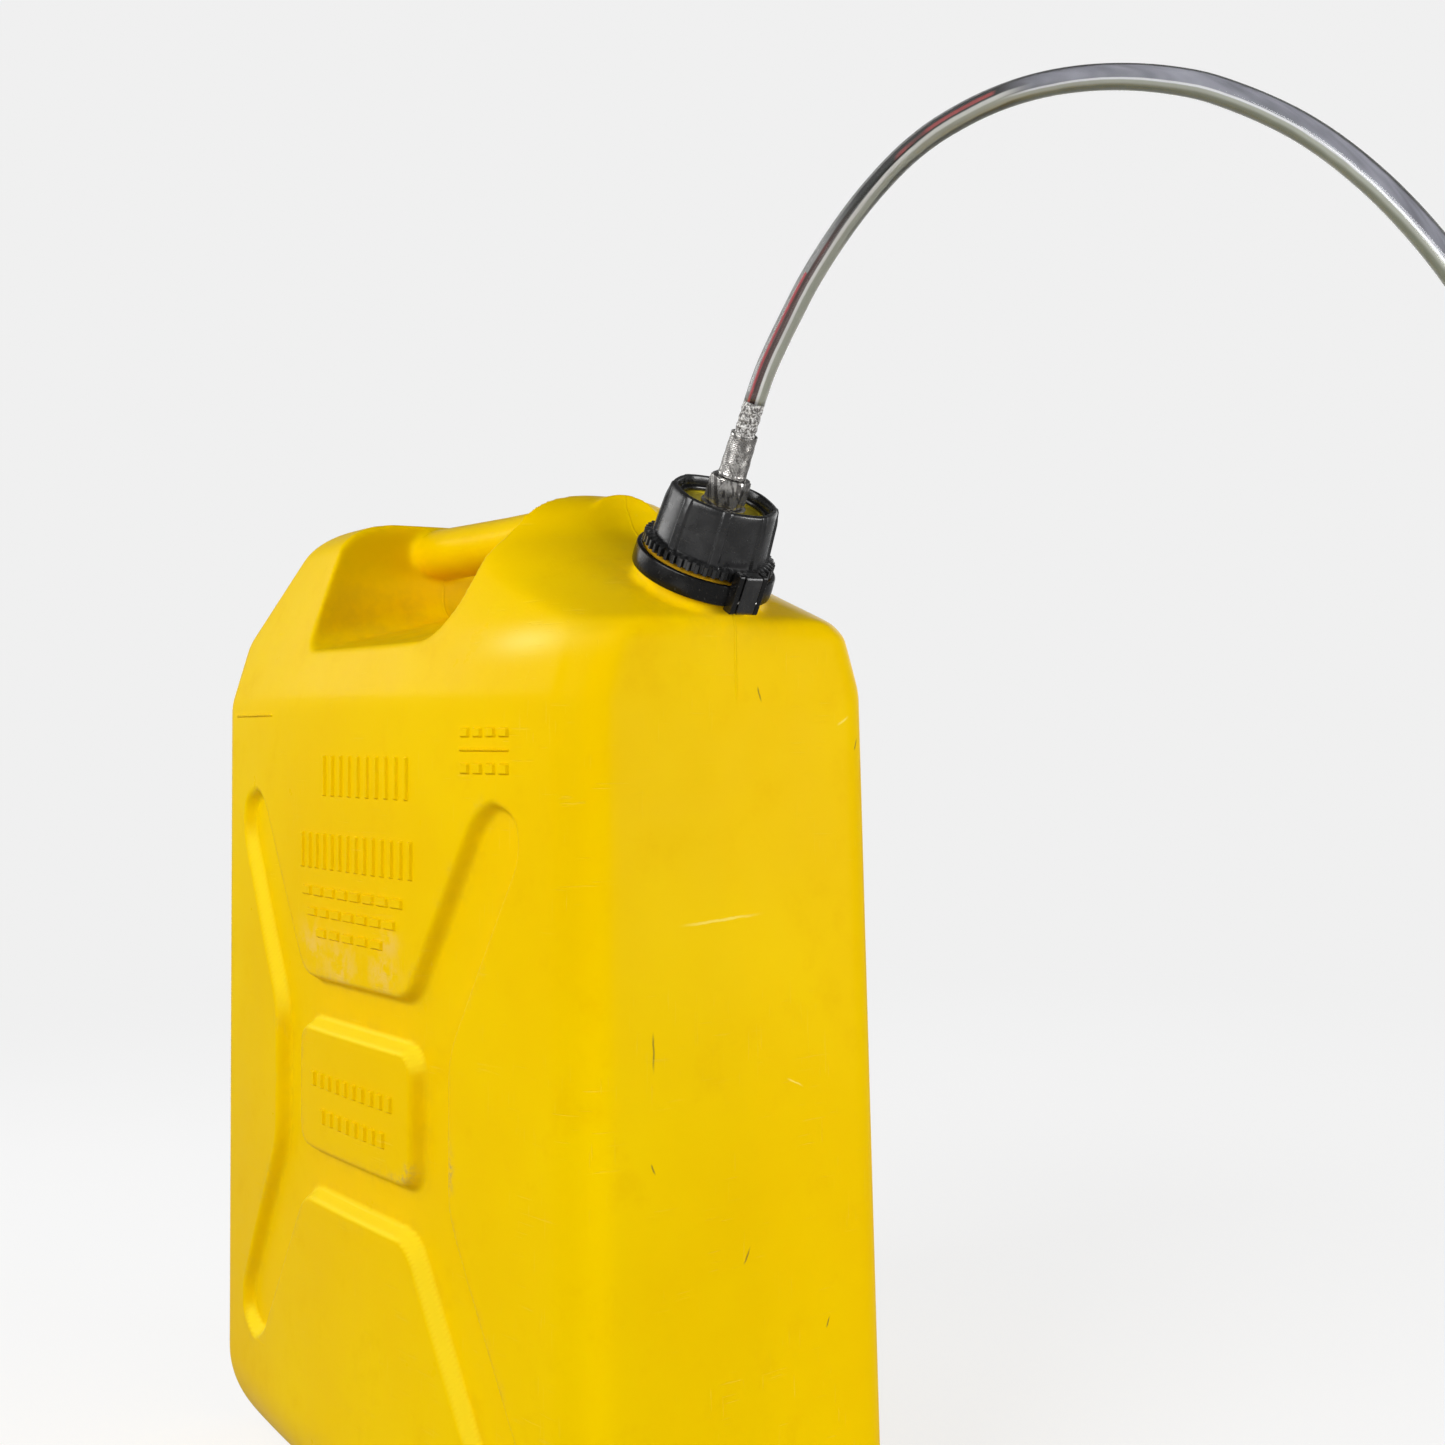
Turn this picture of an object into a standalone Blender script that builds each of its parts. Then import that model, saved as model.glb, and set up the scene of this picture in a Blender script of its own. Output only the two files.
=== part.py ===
"""Twenty-litre moulded fuel can with a latched screw cap, a pickup tube and a clear hose.

Metres, +Z up. The origin is on the floor under the middle of the can. +X is the can's long
side, with the neck at its +X end, and -Y is the broad face that carries the cross channel.
"""
import math

import bmesh
import bpy
from mathutils import Matrix, Vector

# Can body
BODY_WIDTH = 0.3340          # along X at the shoulder
BODY_DEPTH = 0.1566          # along Y at the shoulder
BODY_WIDTH_GROWTH = 0.0048   # each side grows by this much per metre downwards
BODY_DEPTH_GROWTH = 0.0165
FACE_CROWN = 0.0095          # how far the broad faces belly out in their middle
CORNER_RADIUS = 0.018        # upright corners
ROOF_CORNER_RADIUS = 0.045   # the same two corners at the neck's end, where the roof slopes
ROOF_CORNER_START = 0.372    # heights between which the radius grows
ROOF_CORNER_FULL = 0.402
ROOF_CROWN = 0.005           # how far the neck's roof slope falls back at its two long edges
ROOF_CROWN_START = 0.374
ROOF_CROWN_FULL = 0.382
BASE_RADIUS_X = 0.036
BASE_RADIUS_Y = 0.022
BODY_TOP = 0.436             # top of the two humps
TOP_EDGE_RADIUS = 0.014
TOP_EDGE_SPREAD = 1.6        # the top edge's rounding is this many times as wide as it is high
TOP_EDGE_SPREAD_LEFT = 0.6
SHOULDER_BLEND = 0.0035      # how softly the end walls turn into the roof slopes
FACE_BLEND = 0.0012          # how softly the broad faces turn into their lean
HUMP_FOOT_BLEND = 0.008
HUMP_WALL_LEAN = 0.12        # the +X hump's end wall leans in by this much per metre
HUMP_WALL_FOOT = 0.41
CORNER_LIMIT = 0.8           # a corner's radius is at most this share of half a side
LEFT_SLOPE_FOOT = 0.3825     # height where the -X roof slope meets the wall, unrounded
LEFT_SLOPE = 1.02            # rise over run of the -X roof slope
SIDE_LEAN = 0.364            # run over rise of the broad faces above the shoulder
SIDE_LEAN_FOOT = 0.354
HUMP_WALL_X = 0.099          # where the +X hump ends above the neck's slope
WALL = 0.0028                # wall thickness of the moulding

# Neck axis
NECK_X = 0.1454              # the neck's base on its own axis
NECK_Z = 0.3970
NECK_TILT = math.radians(29.5)
NECK_SLOPE_DROP = 0.0040     # the roof slope lies this far below the neck's base

# Hand hold
POCKET_LEFT = -0.068
POCKET_RIGHT = 0.066
POCKET_DRAFT = 0.004         # how much the pocket's ends close in towards the mould's parting
POCKET_RIGHT_LEAN = 0.34
POCKET_FLOOR = 0.374         # at the faces
POCKET_FLOOR_MIDDLE = 0.392  # at the parting plane
POCKET_REACH = 0.11          # the cutter reaches this far each way, past both faces
POCKET_OUTER_DROP = 0.008    # the floor is this much lower at the cutter's ends
POCKET_ROUND = 0.030         # the curve from the floor into the +X hump
POCKET_TOP = 0.47            # above the humps, so the hollow is open
HANDLE_Z = 0.4225
HANDLE_HALF_HEIGHT = 0.0115
HANDLE_HALF_DEPTH = 0.0150
HANDLE_IN_LEFT = 0.014       # how far the bar runs into the -X hump
HANDLE_IN_RIGHT = 0.028
HANDLE_FLARE = 0.25          # how much wider the bar is at its ends

# Cross channel on each broad face
CHANNEL_DEPTH = 0.0060
CHANNEL_Z = 0.1825           # height of the cross's middle
ISLAND_HALF_WIDTH = 0.0520
ISLAND_HALF_HEIGHT = 0.0255

# Neck, lock ring and cap, as radii and heights along the neck axis
NECK_ROOT = -0.016           # the neck starts this far inside the roof
NECK_BEAD_RADIUS = 0.0252
NECK_BEAD_STEP = 0.0080      # above this the bead steps in, under the cap's flange
NECK_STEP_RADIUS = 0.0238
NECK_BEAD_TOP = 0.0094
NECK_THREAD_RADIUS = 0.0185
NECK_TOP = 0.0250
NECK_BORE_RADIUS = 0.0155
RING_OUTER = 0.0278
RING_BOTTOM = 0.0003
RING_TOP = 0.0086
FLANGE_RADIUS = 0.0260
CAP_FOOT_RADIUS = 0.0222
CAP_RADIUS = 0.0208          # at the rim
CAP_BOTTOM = 0.0098
CAP_TOP = 0.0344
RATCHET_TEETH = 48
GRIP_RIBS = 8
TURN_SIDES = 96              # two sides for each ratchet tooth, so the teeth and ribs line up
DISC_BOTTOM = 0.0268
DISC_TOP = 0.0290
SHELF_TOP = 0.0306           # the cap's inner shelf over the disc
SHELF_BORE = 0.0166
GAP = 0.0003                 # clearance between pieces that touch

# Latch on the ring's +X side
LATCH_HALF_WIDTH = 0.0038
LATCH_PIVOT_R = 0.0303
LATCH_PIVOT_H = 0.0040
LATCH_PIN_RADIUS = 0.0009
CHEEK_WIDTH = 0.0024
CHEEK_REACH = 0.0312         # along the neck's radius
CHEEK_STEP = 0.0084          # above this the cheeks stand clear of the cap's flange
CHEEK_TOP = 0.0150
LATCH_BOTTOM = -0.0010

# Hose and its fittings
HOSE_RADIUS = 0.0040
HOSE_START = 0.0716          # along the neck axis
BARB_COVER_BOTTOM = 0.0472
BARB_COVER_BORE = 0.0029
BARBS = 6
FERRULE_BOTTOM = 0.0424
FERRULE_TOP = 0.0590
FERRULE_RADIUS = 0.0053
NUT_HALF_FLATS = 0.0070
NUT_BOTTOM = 0.0313
NUT_TOP = 0.0420
COIL_X = 0.4305
COIL_INNER_TURN = 0.0385     # the coil is a flat spiral of two turns
COIL_OUTER_TURN = 0.0553
COIL_BOTTOM = 0.0013
COIL_TOP = 0.0100
RUN_OUT_START = -0.0330      # where the hose's last stretch leaves the coil
END_Y = -0.0880              # where the hose meets its far fitting
END_Z = 0.0078
DIP_TUBE_RADIUS = 0.0042
DIP_TUBE_END = -0.4180       # along the neck axis


def neck_frame():
    """The neck's own frame: +Z out of the neck, at the neck's base."""
    return Matrix.Translation((NECK_X, 0.0, NECK_Z)) @ Matrix.Rotation(NECK_TILT, 4, "Y")


def far_frame():
    """The far fitting's frame: +Z runs along -Y, away from the hose, on the floor."""
    place = Matrix.Translation((COIL_X + COIL_OUTER_TURN, END_Y, END_Z))
    return place @ Matrix.Rotation(math.radians(90.0), 4, "X")


# ---------------------------------------------------------------- materials and objects

def material(name, color, roughness, metallic=0.0, alpha=1.0):
    made = bpy.data.materials.get(name)
    if made is None:
        made = bpy.data.materials.new(name)
        made.use_nodes = True
        shader = made.node_tree.nodes["Principled BSDF"]
        shader.inputs["Base Color"].default_value = (*color, 1.0)
        shader.inputs["Roughness"].default_value = roughness
        shader.inputs["Metallic"].default_value = metallic
        shader.inputs["Alpha"].default_value = alpha
    return made


def yellow():
    return material("can_yellow", (0.82, 0.55, 0.0), 0.38)


def disc_yellow():
    return material("disc_yellow", (0.78, 0.62, 0.02), 0.45)


def black():
    return material("cap_black", (0.022, 0.022, 0.024), 0.38)


def rubber():
    return material("seal_rubber", (0.03, 0.03, 0.03), 0.75)


def chrome():
    return material("fitting_chrome", (0.72, 0.72, 0.73), 0.16, metallic=1.0)


def steel():
    return material("knurled_steel", (0.60, 0.59, 0.57), 0.32, metallic=1.0)


def clear_hose():
    return material("hose_clear", (0.62, 0.64, 0.66), 0.12)


def pale_plastic():
    return material("pickup_plastic", (0.80, 0.80, 0.74), 0.45)


def add_object(name, mesh, look, frame=None):
    thing = bpy.data.objects.new(name, mesh)
    mesh.materials.append(look)
    bpy.context.scene.collection.objects.link(thing)
    if frame is not None:
        thing.matrix_world = frame
    return thing


def mesh_from(name, vertices, faces):
    mesh = bpy.data.meshes.new(name)
    mesh.from_pydata([tuple(v) for v in vertices], [], faces)
    mesh.validate()
    work = bmesh.new()
    work.from_mesh(mesh)
    bmesh.ops.recalc_face_normals(work, faces=work.faces)
    work.to_mesh(mesh)
    work.free()
    return mesh


# ---------------------------------------------------------------- shape helpers

def smooth_min(a, b, blend):
    overlap = max(blend - abs(a - b), 0.0) / blend
    return min(a, b) - overlap * overlap * blend / 4.0


def smooth_max(a, b, blend):
    return -smooth_min(-a, -b, blend)


def loft(name, sections):
    """Closed skin through rings of equal point count, flat at both ends."""
    count = len(sections[0])
    vertices = [point for section in sections for point in section]
    faces = []
    for level in range(len(sections) - 1):
        low = level * count
        high = low + count
        for i in range(count):
            j = (i + 1) % count
            faces.append((low + i, low + j, high + j, high + i))
    faces.append(tuple(reversed(range(count))))
    last = (len(sections) - 1) * count
    faces.append(tuple(range(last, last + count)))
    return mesh_from(name, vertices, faces)


def turned(name, outline, sides=32, reach=None):
    """Turn a closed outline of (radius, height) about +Z; a zero radius closes on the axis.

    reach(index, angle) may scale a point's radius, for flats, teeth and ribs.
    """
    vertices = []
    rings = []
    for index, (radius, height) in enumerate(outline):
        if radius < 1e-7:
            rings.append([len(vertices)])
            vertices.append((0.0, 0.0, height))
            continue
        ring = []
        for side in range(sides):
            angle = 2.0 * math.pi * side / sides
            scale = reach(index, angle) if reach else 1.0
            ring.append(len(vertices))
            vertices.append((radius * scale * math.cos(angle), radius * scale * math.sin(angle), height))
        rings.append(ring)
    faces = []
    for here, there in zip(rings, rings[1:] + rings[:1]):
        if len(here) == 1 and len(there) == 1:
            continue
        for i in range(sides):
            j = (i + 1) % sides
            if len(here) == 1:
                faces.append((here[0], there[i], there[j]))
            elif len(there) == 1:
                faces.append((here[i], here[j], there[0]))
            else:
                faces.append((here[i], here[j], there[j], there[i]))
    return mesh_from(name, vertices, faces)


def hexagon(flat_rows):
    """reach() for a hexagon on the given outline rows, as a scale on half the flats."""
    def reach(index, angle):
        if index not in flat_rows:
            return 1.0
        sixth = math.pi / 3.0
        off = (angle % sixth) - sixth / 2.0
        return 1.0 / math.cos(off)
    return reach


def block(name, low, high):
    corners = [Vector((x, y, z)) for z in (low[2], high[2])
               for x, y in ((low[0], low[1]), (high[0], low[1]), (high[0], high[1]), (low[0], high[1]))]
    faces = [(3, 2, 1, 0), (4, 5, 6, 7), (0, 1, 5, 4), (1, 2, 6, 5), (2, 3, 7, 6), (3, 0, 4, 7)]
    return mesh_from(name, corners, faces)


def combine(target, tool_mesh, operation, frame=None):
    """Apply an exact Boolean to target, and drop the tool."""
    tool = bpy.data.objects.new("tool", tool_mesh)
    bpy.context.scene.collection.objects.link(tool)
    if frame is not None:
        tool.matrix_world = frame
    cut = target.modifiers.new("cut", "BOOLEAN")
    cut.operation = operation
    cut.solver = "EXACT"
    cut.object = tool
    bpy.context.view_layer.update()
    graph = bpy.context.evaluated_depsgraph_get()
    result = bpy.data.meshes.new_from_object(target.evaluated_get(graph))
    target.modifiers.remove(cut)
    looks = [slot.material for slot in target.material_slots]
    target.data = result
    result.materials.clear()
    for look in looks:
        result.materials.append(look)
    bpy.data.objects.remove(tool)


# ---------------------------------------------------------------- can body

def slope_reach(z):
    """How far +X the neck's roof slope reaches at height z."""
    drop = NECK_SLOPE_DROP / math.cos(NECK_TILT)
    return NECK_X + (NECK_Z - drop - z) / math.tan(NECK_TILT)


def body_extents(z):
    """Reach towards -X, reach towards +X and half depth of the can at height z."""
    width = BODY_WIDTH / 2.0 + BODY_WIDTH_GROWTH * (LEFT_SLOPE_FOOT - z)
    depth = BODY_DEPTH / 2.0 + BODY_DEPTH_GROWTH * (LEFT_SLOPE_FOOT - z)
    left_slope = BODY_WIDTH / 2.0 - (z - LEFT_SLOPE_FOOT) / LEFT_SLOPE
    left = smooth_min(width, left_slope, SHOULDER_BLEND)
    hump_wall = HUMP_WALL_X - HUMP_WALL_LEAN * (z - HUMP_WALL_FOOT)
    right = smooth_min(width, smooth_max(slope_reach(z), hump_wall, HUMP_FOOT_BLEND), SHOULDER_BLEND)
    lean = BODY_DEPTH / 2.0 - (z - SIDE_LEAN_FOOT) * SIDE_LEAN
    half_depth = smooth_min(depth, lean, FACE_BLEND)
    over = z - (BODY_TOP - TOP_EDGE_RADIUS)
    if over > 0.0:
        inset = TOP_EDGE_RADIUS - math.sqrt(max(TOP_EDGE_RADIUS ** 2 - over ** 2, 0.0))
        left -= inset * TOP_EDGE_SPREAD_LEFT
        right -= inset * TOP_EDGE_SPREAD
        half_depth -= inset * TOP_EDGE_SPREAD
    if z < BASE_RADIUS_X:
        under = 1.0 - z / BASE_RADIUS_X
        rounding = 1.0 - math.sqrt(max(1.0 - under * under, 0.0))
        left -= BASE_RADIUS_X * rounding
        right -= BASE_RADIUS_X * rounding
        half_depth -= BASE_RADIUS_Y * rounding
    return left, right, half_depth


def roof_corner(z):
    """Radius of the two upright corners at the neck's end."""
    share = (z - ROOF_CORNER_START) / (ROOF_CORNER_FULL - ROOF_CORNER_START)
    share = min(max(share, 0.0), 1.0)
    return CORNER_RADIUS + (ROOF_CORNER_RADIUS - CORNER_RADIUS) * share * share * (3.0 - 2.0 * share)


def roof_fall(z):
    """How far the neck's end falls back at its two corners."""
    share = (z - ROOF_CROWN_START) / (ROOF_CROWN_FULL - ROOF_CROWN_START)
    return ROOF_CROWN * min(max(share, 0.0), 1.0)


def body_section(z, inset, corner_steps, long_steps, short_steps):
    """One ring of the can: a rounded rectangle whose long sides belly out."""
    left, right, half_depth = body_extents(z)
    middle = (right - left) / 2.0
    half_width = (right + left) / 2.0 - inset
    half_depth = half_depth - inset
    most = min(half_width, half_depth) * CORNER_LIMIT
    neck_end = min(roof_corner(z), most)
    other_end = min(CORNER_RADIUS, most)
    crown = FACE_CROWN * min(1.0, half_depth / (BODY_DEPTH / 2.0))
    corners = ((1, -1, -90, neck_end), (1, 1, 0, neck_end), (-1, 1, 90, other_end), (-1, -1, 180, other_end))

    def on_corner(corner, turn):
        sx, sy, start, radius = corner
        angle = math.radians(start + turn)
        return (sx * (half_width - radius) + radius * math.cos(angle),
                sy * (half_depth - radius) + radius * math.sin(angle))

    points = []
    for index, corner in enumerate(corners):
        points += [on_corner(corner, 90.0 * step / corner_steps) for step in range(corner_steps + 1)]
        side_steps = short_steps if index % 2 == 0 else long_steps
        ax, ay = points[-1]
        bx, by = on_corner(corners[(index + 1) % 4], 0.0)
        for step in range(1, side_steps):
            share = step / side_steps
            points.append((ax + (bx - ax) * share, ay + (by - ay) * share))
    ring = []
    for x, y in points:
        bow = crown * (x / half_width) ** 2 * (abs(y) / half_depth)
        dip = roof_fall(z) * max(x / half_width, 0.0) ** 2 * (y / half_depth) ** 2
        ring.append(Vector((middle + x - dip, y - math.copysign(bow, y), z)))
    return ring


def body_levels(low, high, count_base, count_wall, count_roof):
    """Section heights, close together in the base's rounding and in the roof."""
    levels = []
    if low < BASE_RADIUS_X:
        for i in range(count_base):
            share = math.sin(0.5 * math.pi * i / count_base)
            levels.append(low + (BASE_RADIUS_X - low) * (1.0 - math.cos(math.asin(share))))
    roof = SIDE_LEAN_FOOT - SHOULDER_BLEND - FACE_BLEND
    start = max(low, BASE_RADIUS_X)
    levels += [start + (roof - start) * i / count_wall for i in range(count_wall)]
    levels += [roof + (high - roof) * (i / count_roof) ** 0.85 for i in range(count_roof + 1)]
    return levels


def pocket_mesh(grow):
    """The hand hold's hollow, open at the top and through the can, as a loft along Y."""
    sections = []
    outer_floor = POCKET_FLOOR - POCKET_OUTER_DROP
    for y, draft, floor in ((-POCKET_REACH, 0.0, outer_floor), (0.0, POCKET_DRAFT, POCKET_FLOOR_MIDDLE),
                            (POCKET_REACH, 0.0, outer_floor)):
        floor -= grow
        left = POCKET_LEFT + draft - grow
        right = POCKET_RIGHT - draft + grow
        foot = [(left, floor + 0.006), (left + 0.002, floor + 0.002), (left + 0.006, floor)]
        lean = math.atan(POCKET_RIGHT_LEAN)
        start_x = right - POCKET_ROUND * math.tan((math.pi / 2.0 - lean) / 2.0)
        for step in range(6):
            angle = (math.pi / 2.0 - lean) * step / 5.0
            foot.append((start_x + POCKET_ROUND * math.sin(angle),
                         floor + POCKET_ROUND * (1.0 - math.cos(angle))))
        x, z = foot[-1]
        outline = foot + [(x + (POCKET_TOP - z) * POCKET_RIGHT_LEAN, POCKET_TOP), (left, POCKET_TOP)]
        sections.append([Vector((px, y, pz)) for px, pz in outline])
    return loft("pocket", sections)


def handle_mesh():
    """The grip bar between the humps: an oval that swells into them."""
    sections = []
    left = POCKET_LEFT - HANDLE_IN_LEFT
    right = POCKET_RIGHT + HANDLE_IN_RIGHT
    steps = 10
    for step in range(steps + 1):
        share = step / steps
        flare = 1.0 + HANDLE_FLARE * (2.0 * share - 1.0) ** 4
        ring = []
        for side in range(20):
            angle = 2.0 * math.pi * side / 20
            y = HANDLE_HALF_DEPTH * flare * math.cos(angle)
            z = HANDLE_Z + HANDLE_HALF_HEIGHT * math.sin(angle)
            ring.append(Vector((left + (right - left) * share, y, z)))
        sections.append(ring)
    return loft("handle", sections)


def prism(name, outline, side, near, far, flare=0.0):
    """An (x, z) outline carried along Y from near to far on one side, wider by flare at far."""
    middle_z = sum(z for _, z in outline) / len(outline)
    rings = []
    for y, spread in ((near, 0.0), (far, flare)):
        ring = []
        for x, z in outline:
            away = Vector((x, z - middle_z)).normalized() * spread
            ring.append(Vector((x + away.x, side * y, z + away.y)))
        rings.append(ring)
    return loft(name, rings)


def grown(outline, grow):
    """A closed counter-clockwise (x, z) outline moved outwards by grow, with mitred corners."""
    count = len(outline)
    result = []
    for i in range(count):
        here = Vector(outline[i])
        before = (here - Vector(outline[i - 1])).normalized()
        after = (Vector(outline[(i + 1) % count]) - here).normalized()
        normal = Vector((before.y + after.y, -before.x - after.x)).normalized()
        share = max(normal.x * before.y - normal.y * before.x, 0.5)
        result.append(tuple(here + normal * (grow / share)))
    return result


def cross_outline():
    """The cross's outer edge as (x, z): four arms with rounded tips and a straight waist."""
    arm = [(0.0835, 0.0300), (0.0890, 0.0390), (0.1310, 0.1095), (0.1290, 0.1205), (0.1215, 0.1270),
           (0.1125, 0.1280), (0.1040, 0.1195), (0.0500, 0.0510)]
    outline = []
    for sx, sz in ((1, 1), (-1, 1), (-1, -1), (1, -1)):
        run = [(sx * x, CHANNEL_Z + sz * z) for x, z in arm]
        if sx * sz < 0:
            run.reverse()
        outline += run
    return outline


def island_outline():
    """The raised rectangle in the middle of the cross, with its corners cut."""
    corner = 0.0070
    outline = []
    for sx, sz in ((1, 1), (-1, 1), (-1, -1), (1, -1)):
        run = [(ISLAND_HALF_WIDTH, ISLAND_HALF_HEIGHT - corner), (ISLAND_HALF_WIDTH - corner, ISLAND_HALF_HEIGHT)]
        if sx * sz < 0:
            run.reverse()
        outline += [(sx * x, CHANNEL_Z + sz * z) for x, z in run]
    return outline


def core_mesh(inset, long_steps):
    """The can's walls at one depth below their faces, along the height of the cross."""
    levels = (0.020, 0.100, 0.180, 0.260, 0.335)
    return loft("core", [body_section(z, inset, 2, long_steps, 1) for z in levels])


def channel_mesh(side, depth, island):
    """What the cross takes out of one broad face: a slab that follows the face's belly."""
    near = BODY_DEPTH / 2.0 - 0.030
    far = BODY_DEPTH / 2.0 + 0.020
    outline = cross_outline() if island else grown(cross_outline(), WALL)
    slab = bpy.data.objects.new("slab", prism("slab", outline, side, near, far))
    bpy.context.scene.collection.objects.link(slab)
    combine(slab, core_mesh(depth, 6), "DIFFERENCE")
    if island:
        combine(slab, prism("island", island_outline(), side, far + 0.005, near - 0.005, 0.012), "DIFFERENCE")
    mesh = slab.data
    bpy.data.objects.remove(slab)
    return mesh


def make_can_body():
    levels = body_levels(0.0, BODY_TOP, 6, 3, 17)
    skin = loft("can_body", [body_section(z, 0.0, 5, 6, 3) for z in levels])
    body = add_object("can_body", skin, yellow())
    for side in (-1, 1):
        combine(body, channel_mesh(side, CHANNEL_DEPTH, True), "DIFFERENCE")
    combine(body, pocket_mesh(0.0), "DIFFERENCE")
    combine(body, handle_mesh(), "UNION")
    bead = [(0.0, NECK_ROOT), (NECK_BEAD_RADIUS, NECK_ROOT), (NECK_BEAD_RADIUS, NECK_BEAD_STEP),
            (NECK_STEP_RADIUS, NECK_BEAD_STEP + 0.0006), (NECK_STEP_RADIUS, NECK_BEAD_TOP),
            (NECK_THREAD_RADIUS, NECK_BEAD_TOP + 0.0002), (NECK_THREAD_RADIUS, NECK_TOP), (0.0, NECK_TOP)]
    combine(body, turned("neck", bead, 40), "UNION", neck_frame())
    combine(body, cavity_mesh(), "DIFFERENCE")
    return body


def cavity_mesh():
    """The hollow inside the can, open through the neck, clear of the hand hold and channels."""
    levels = body_levels(WALL, BODY_TOP - 0.0045, 4, 3, 9)
    hollow = bpy.data.objects.new("hollow", loft("hollow", [body_section(z, WALL, 3, 4, 2) for z in levels]))
    bpy.context.scene.collection.objects.link(hollow)
    for side in (-1, 1):
        combine(hollow, channel_mesh(side, CHANNEL_DEPTH + WALL, False), "DIFFERENCE")
    combine(hollow, pocket_mesh(0.0035), "DIFFERENCE")
    bore = [(0.0, -0.030), (NECK_BORE_RADIUS, -0.030), (NECK_BORE_RADIUS, NECK_TOP + 0.01), (0.0, NECK_TOP + 0.01)]
    combine(hollow, turned("bore", bore, 32), "UNION", neck_frame())
    mesh = hollow.data
    bpy.data.objects.remove(hollow)
    return mesh


# ---------------------------------------------------------------- cap, ring and latch

def make_lock_ring():
    frame = neck_frame()
    inner = NECK_BEAD_RADIUS + GAP
    band = [(inner, RING_BOTTOM), (RING_OUTER - 0.0006, RING_BOTTOM), (RING_OUTER, RING_BOTTOM + 0.0008),
            (RING_OUTER, RING_TOP - 0.0008), (RING_OUTER - 0.0006, RING_TOP), (inner, RING_TOP)]
    ring = add_object("lock_ring", turned("lock_ring", band, 64), black(), frame)
    cheek_in = LATCH_HALF_WIDTH + GAP
    for side in (-1, 1):
        low_y, high_y = sorted((side * cheek_in, side * (cheek_in + CHEEK_WIDTH)))
        cheek = block("cheek", (inner, low_y, LATCH_BOTTOM), (CHEEK_REACH, high_y, CHEEK_STEP))
        combine(ring, cheek, "UNION", frame)
        riser = block("riser", (FLANGE_RADIUS + 2.0 * GAP, low_y, CHEEK_STEP - 0.001),
                      (CHEEK_REACH, high_y, CHEEK_TOP))
        combine(ring, riser, "UNION", frame)
    combine(ring, turned("neck_room", [(0.0, -0.01), (inner, -0.01), (inner, 0.02), (0.0, 0.02)], 64),
            "DIFFERENCE", frame)
    hole = turned("pin_hole", [(0.0, -0.02), (LATCH_PIN_RADIUS + 0.0001, -0.02),
                               (LATCH_PIN_RADIUS + 0.0001, 0.02), (0.0, 0.02)], 16)
    combine(ring, hole, "DIFFERENCE", latch_axis())
    return ring


def latch_axis():
    """The latch pivot's frame: +Z runs along +Y through the pin."""
    pivot = neck_frame() @ Vector((LATCH_PIVOT_R, 0.0, LATCH_PIVOT_H))
    return Matrix.Translation(pivot) @ Matrix.Rotation(math.radians(-90.0), 4, "X")


def make_latch():
    """A rocking pawl: its thumb pad is below the pin and its nose faces the cap's teeth."""
    outline = [(0.0288, -0.0008), (0.0310, -0.0008), (0.0318, 0.0004), (0.0318, 0.0140), (0.0312, 0.0148),
               (0.0267, 0.0148), (0.0267, 0.0104), (0.0288, 0.0092)]
    rings = []
    for y in (-LATCH_HALF_WIDTH, LATCH_HALF_WIDTH):
        rings.append([Vector((r - LATCH_PIVOT_R, y, h - LATCH_PIVOT_H)) for r, h in outline])
    pivot = neck_frame() @ Vector((LATCH_PIVOT_R, 0.0, LATCH_PIVOT_H))
    frame = Matrix.Translation(pivot) @ Matrix.Rotation(NECK_TILT, 4, "Y")
    lever = add_object("latch_lever", loft("latch_lever", rings), black(), frame)
    clear = LATCH_PIN_RADIUS + 0.0001
    hole = turned("pin_hole", [(0.0, -0.02), (clear, -0.02), (clear, 0.02), (0.0, 0.02)], 16)
    combine(lever, hole, "DIFFERENCE", latch_axis())
    reach = LATCH_HALF_WIDTH + CHEEK_WIDTH
    pin = [(0.0, -reach), (LATCH_PIN_RADIUS, -reach), (LATCH_PIN_RADIUS, reach), (0.0, reach)]
    add_object("latch_pin", turned("latch_pin", pin, 16), steel(), latch_axis())


def make_cap():
    """The screw collar: a toothed flange, a ribbed wall and a shelf over the insert disc."""
    inner = NECK_THREAD_RADIUS + 0.0007
    outline = [(inner, CAP_BOTTOM), (FLANGE_RADIUS - 0.0004, CAP_BOTTOM), (FLANGE_RADIUS, CAP_BOTTOM + 0.0004),
               (FLANGE_RADIUS, CAP_BOTTOM + 0.0032), (FLANGE_RADIUS - 0.0008, CAP_BOTTOM + 0.0036),
               (CAP_FOOT_RADIUS, CAP_BOTTOM + 0.0040), (CAP_RADIUS + 0.0004, CAP_TOP - 0.0012),
               (CAP_RADIUS - 0.0004, CAP_TOP), (CAP_RADIUS - 0.0022, CAP_TOP),
               (CAP_RADIUS - 0.0022, SHELF_TOP), (SHELF_BORE, SHELF_TOP), (SHELF_BORE, DISC_TOP + GAP),
               (inner, DISC_TOP + GAP)]
    tooth_rows = (1, 2, 3, 4)
    rib_rows = (5, 6)

    def reach(index, angle):
        if index in tooth_rows:
            turn = round(angle / (2.0 * math.pi) * RATCHET_TEETH * 2.0)
            return 1.0 if turn % 2 else 1.0 - 0.0013 / FLANGE_RADIUS
        if index in rib_rows:
            spacing = 2.0 * math.pi / GRIP_RIBS
            off = abs((angle % spacing) - spacing / 2.0) / spacing
            return 1.0 + 0.0012 / CAP_RADIUS * max(0.0, 1.0 - off * 9.0)
        return 1.0

    add_object("cap_collar", turned("cap_collar", outline, TURN_SIDES, reach), black(), neck_frame())


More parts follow.
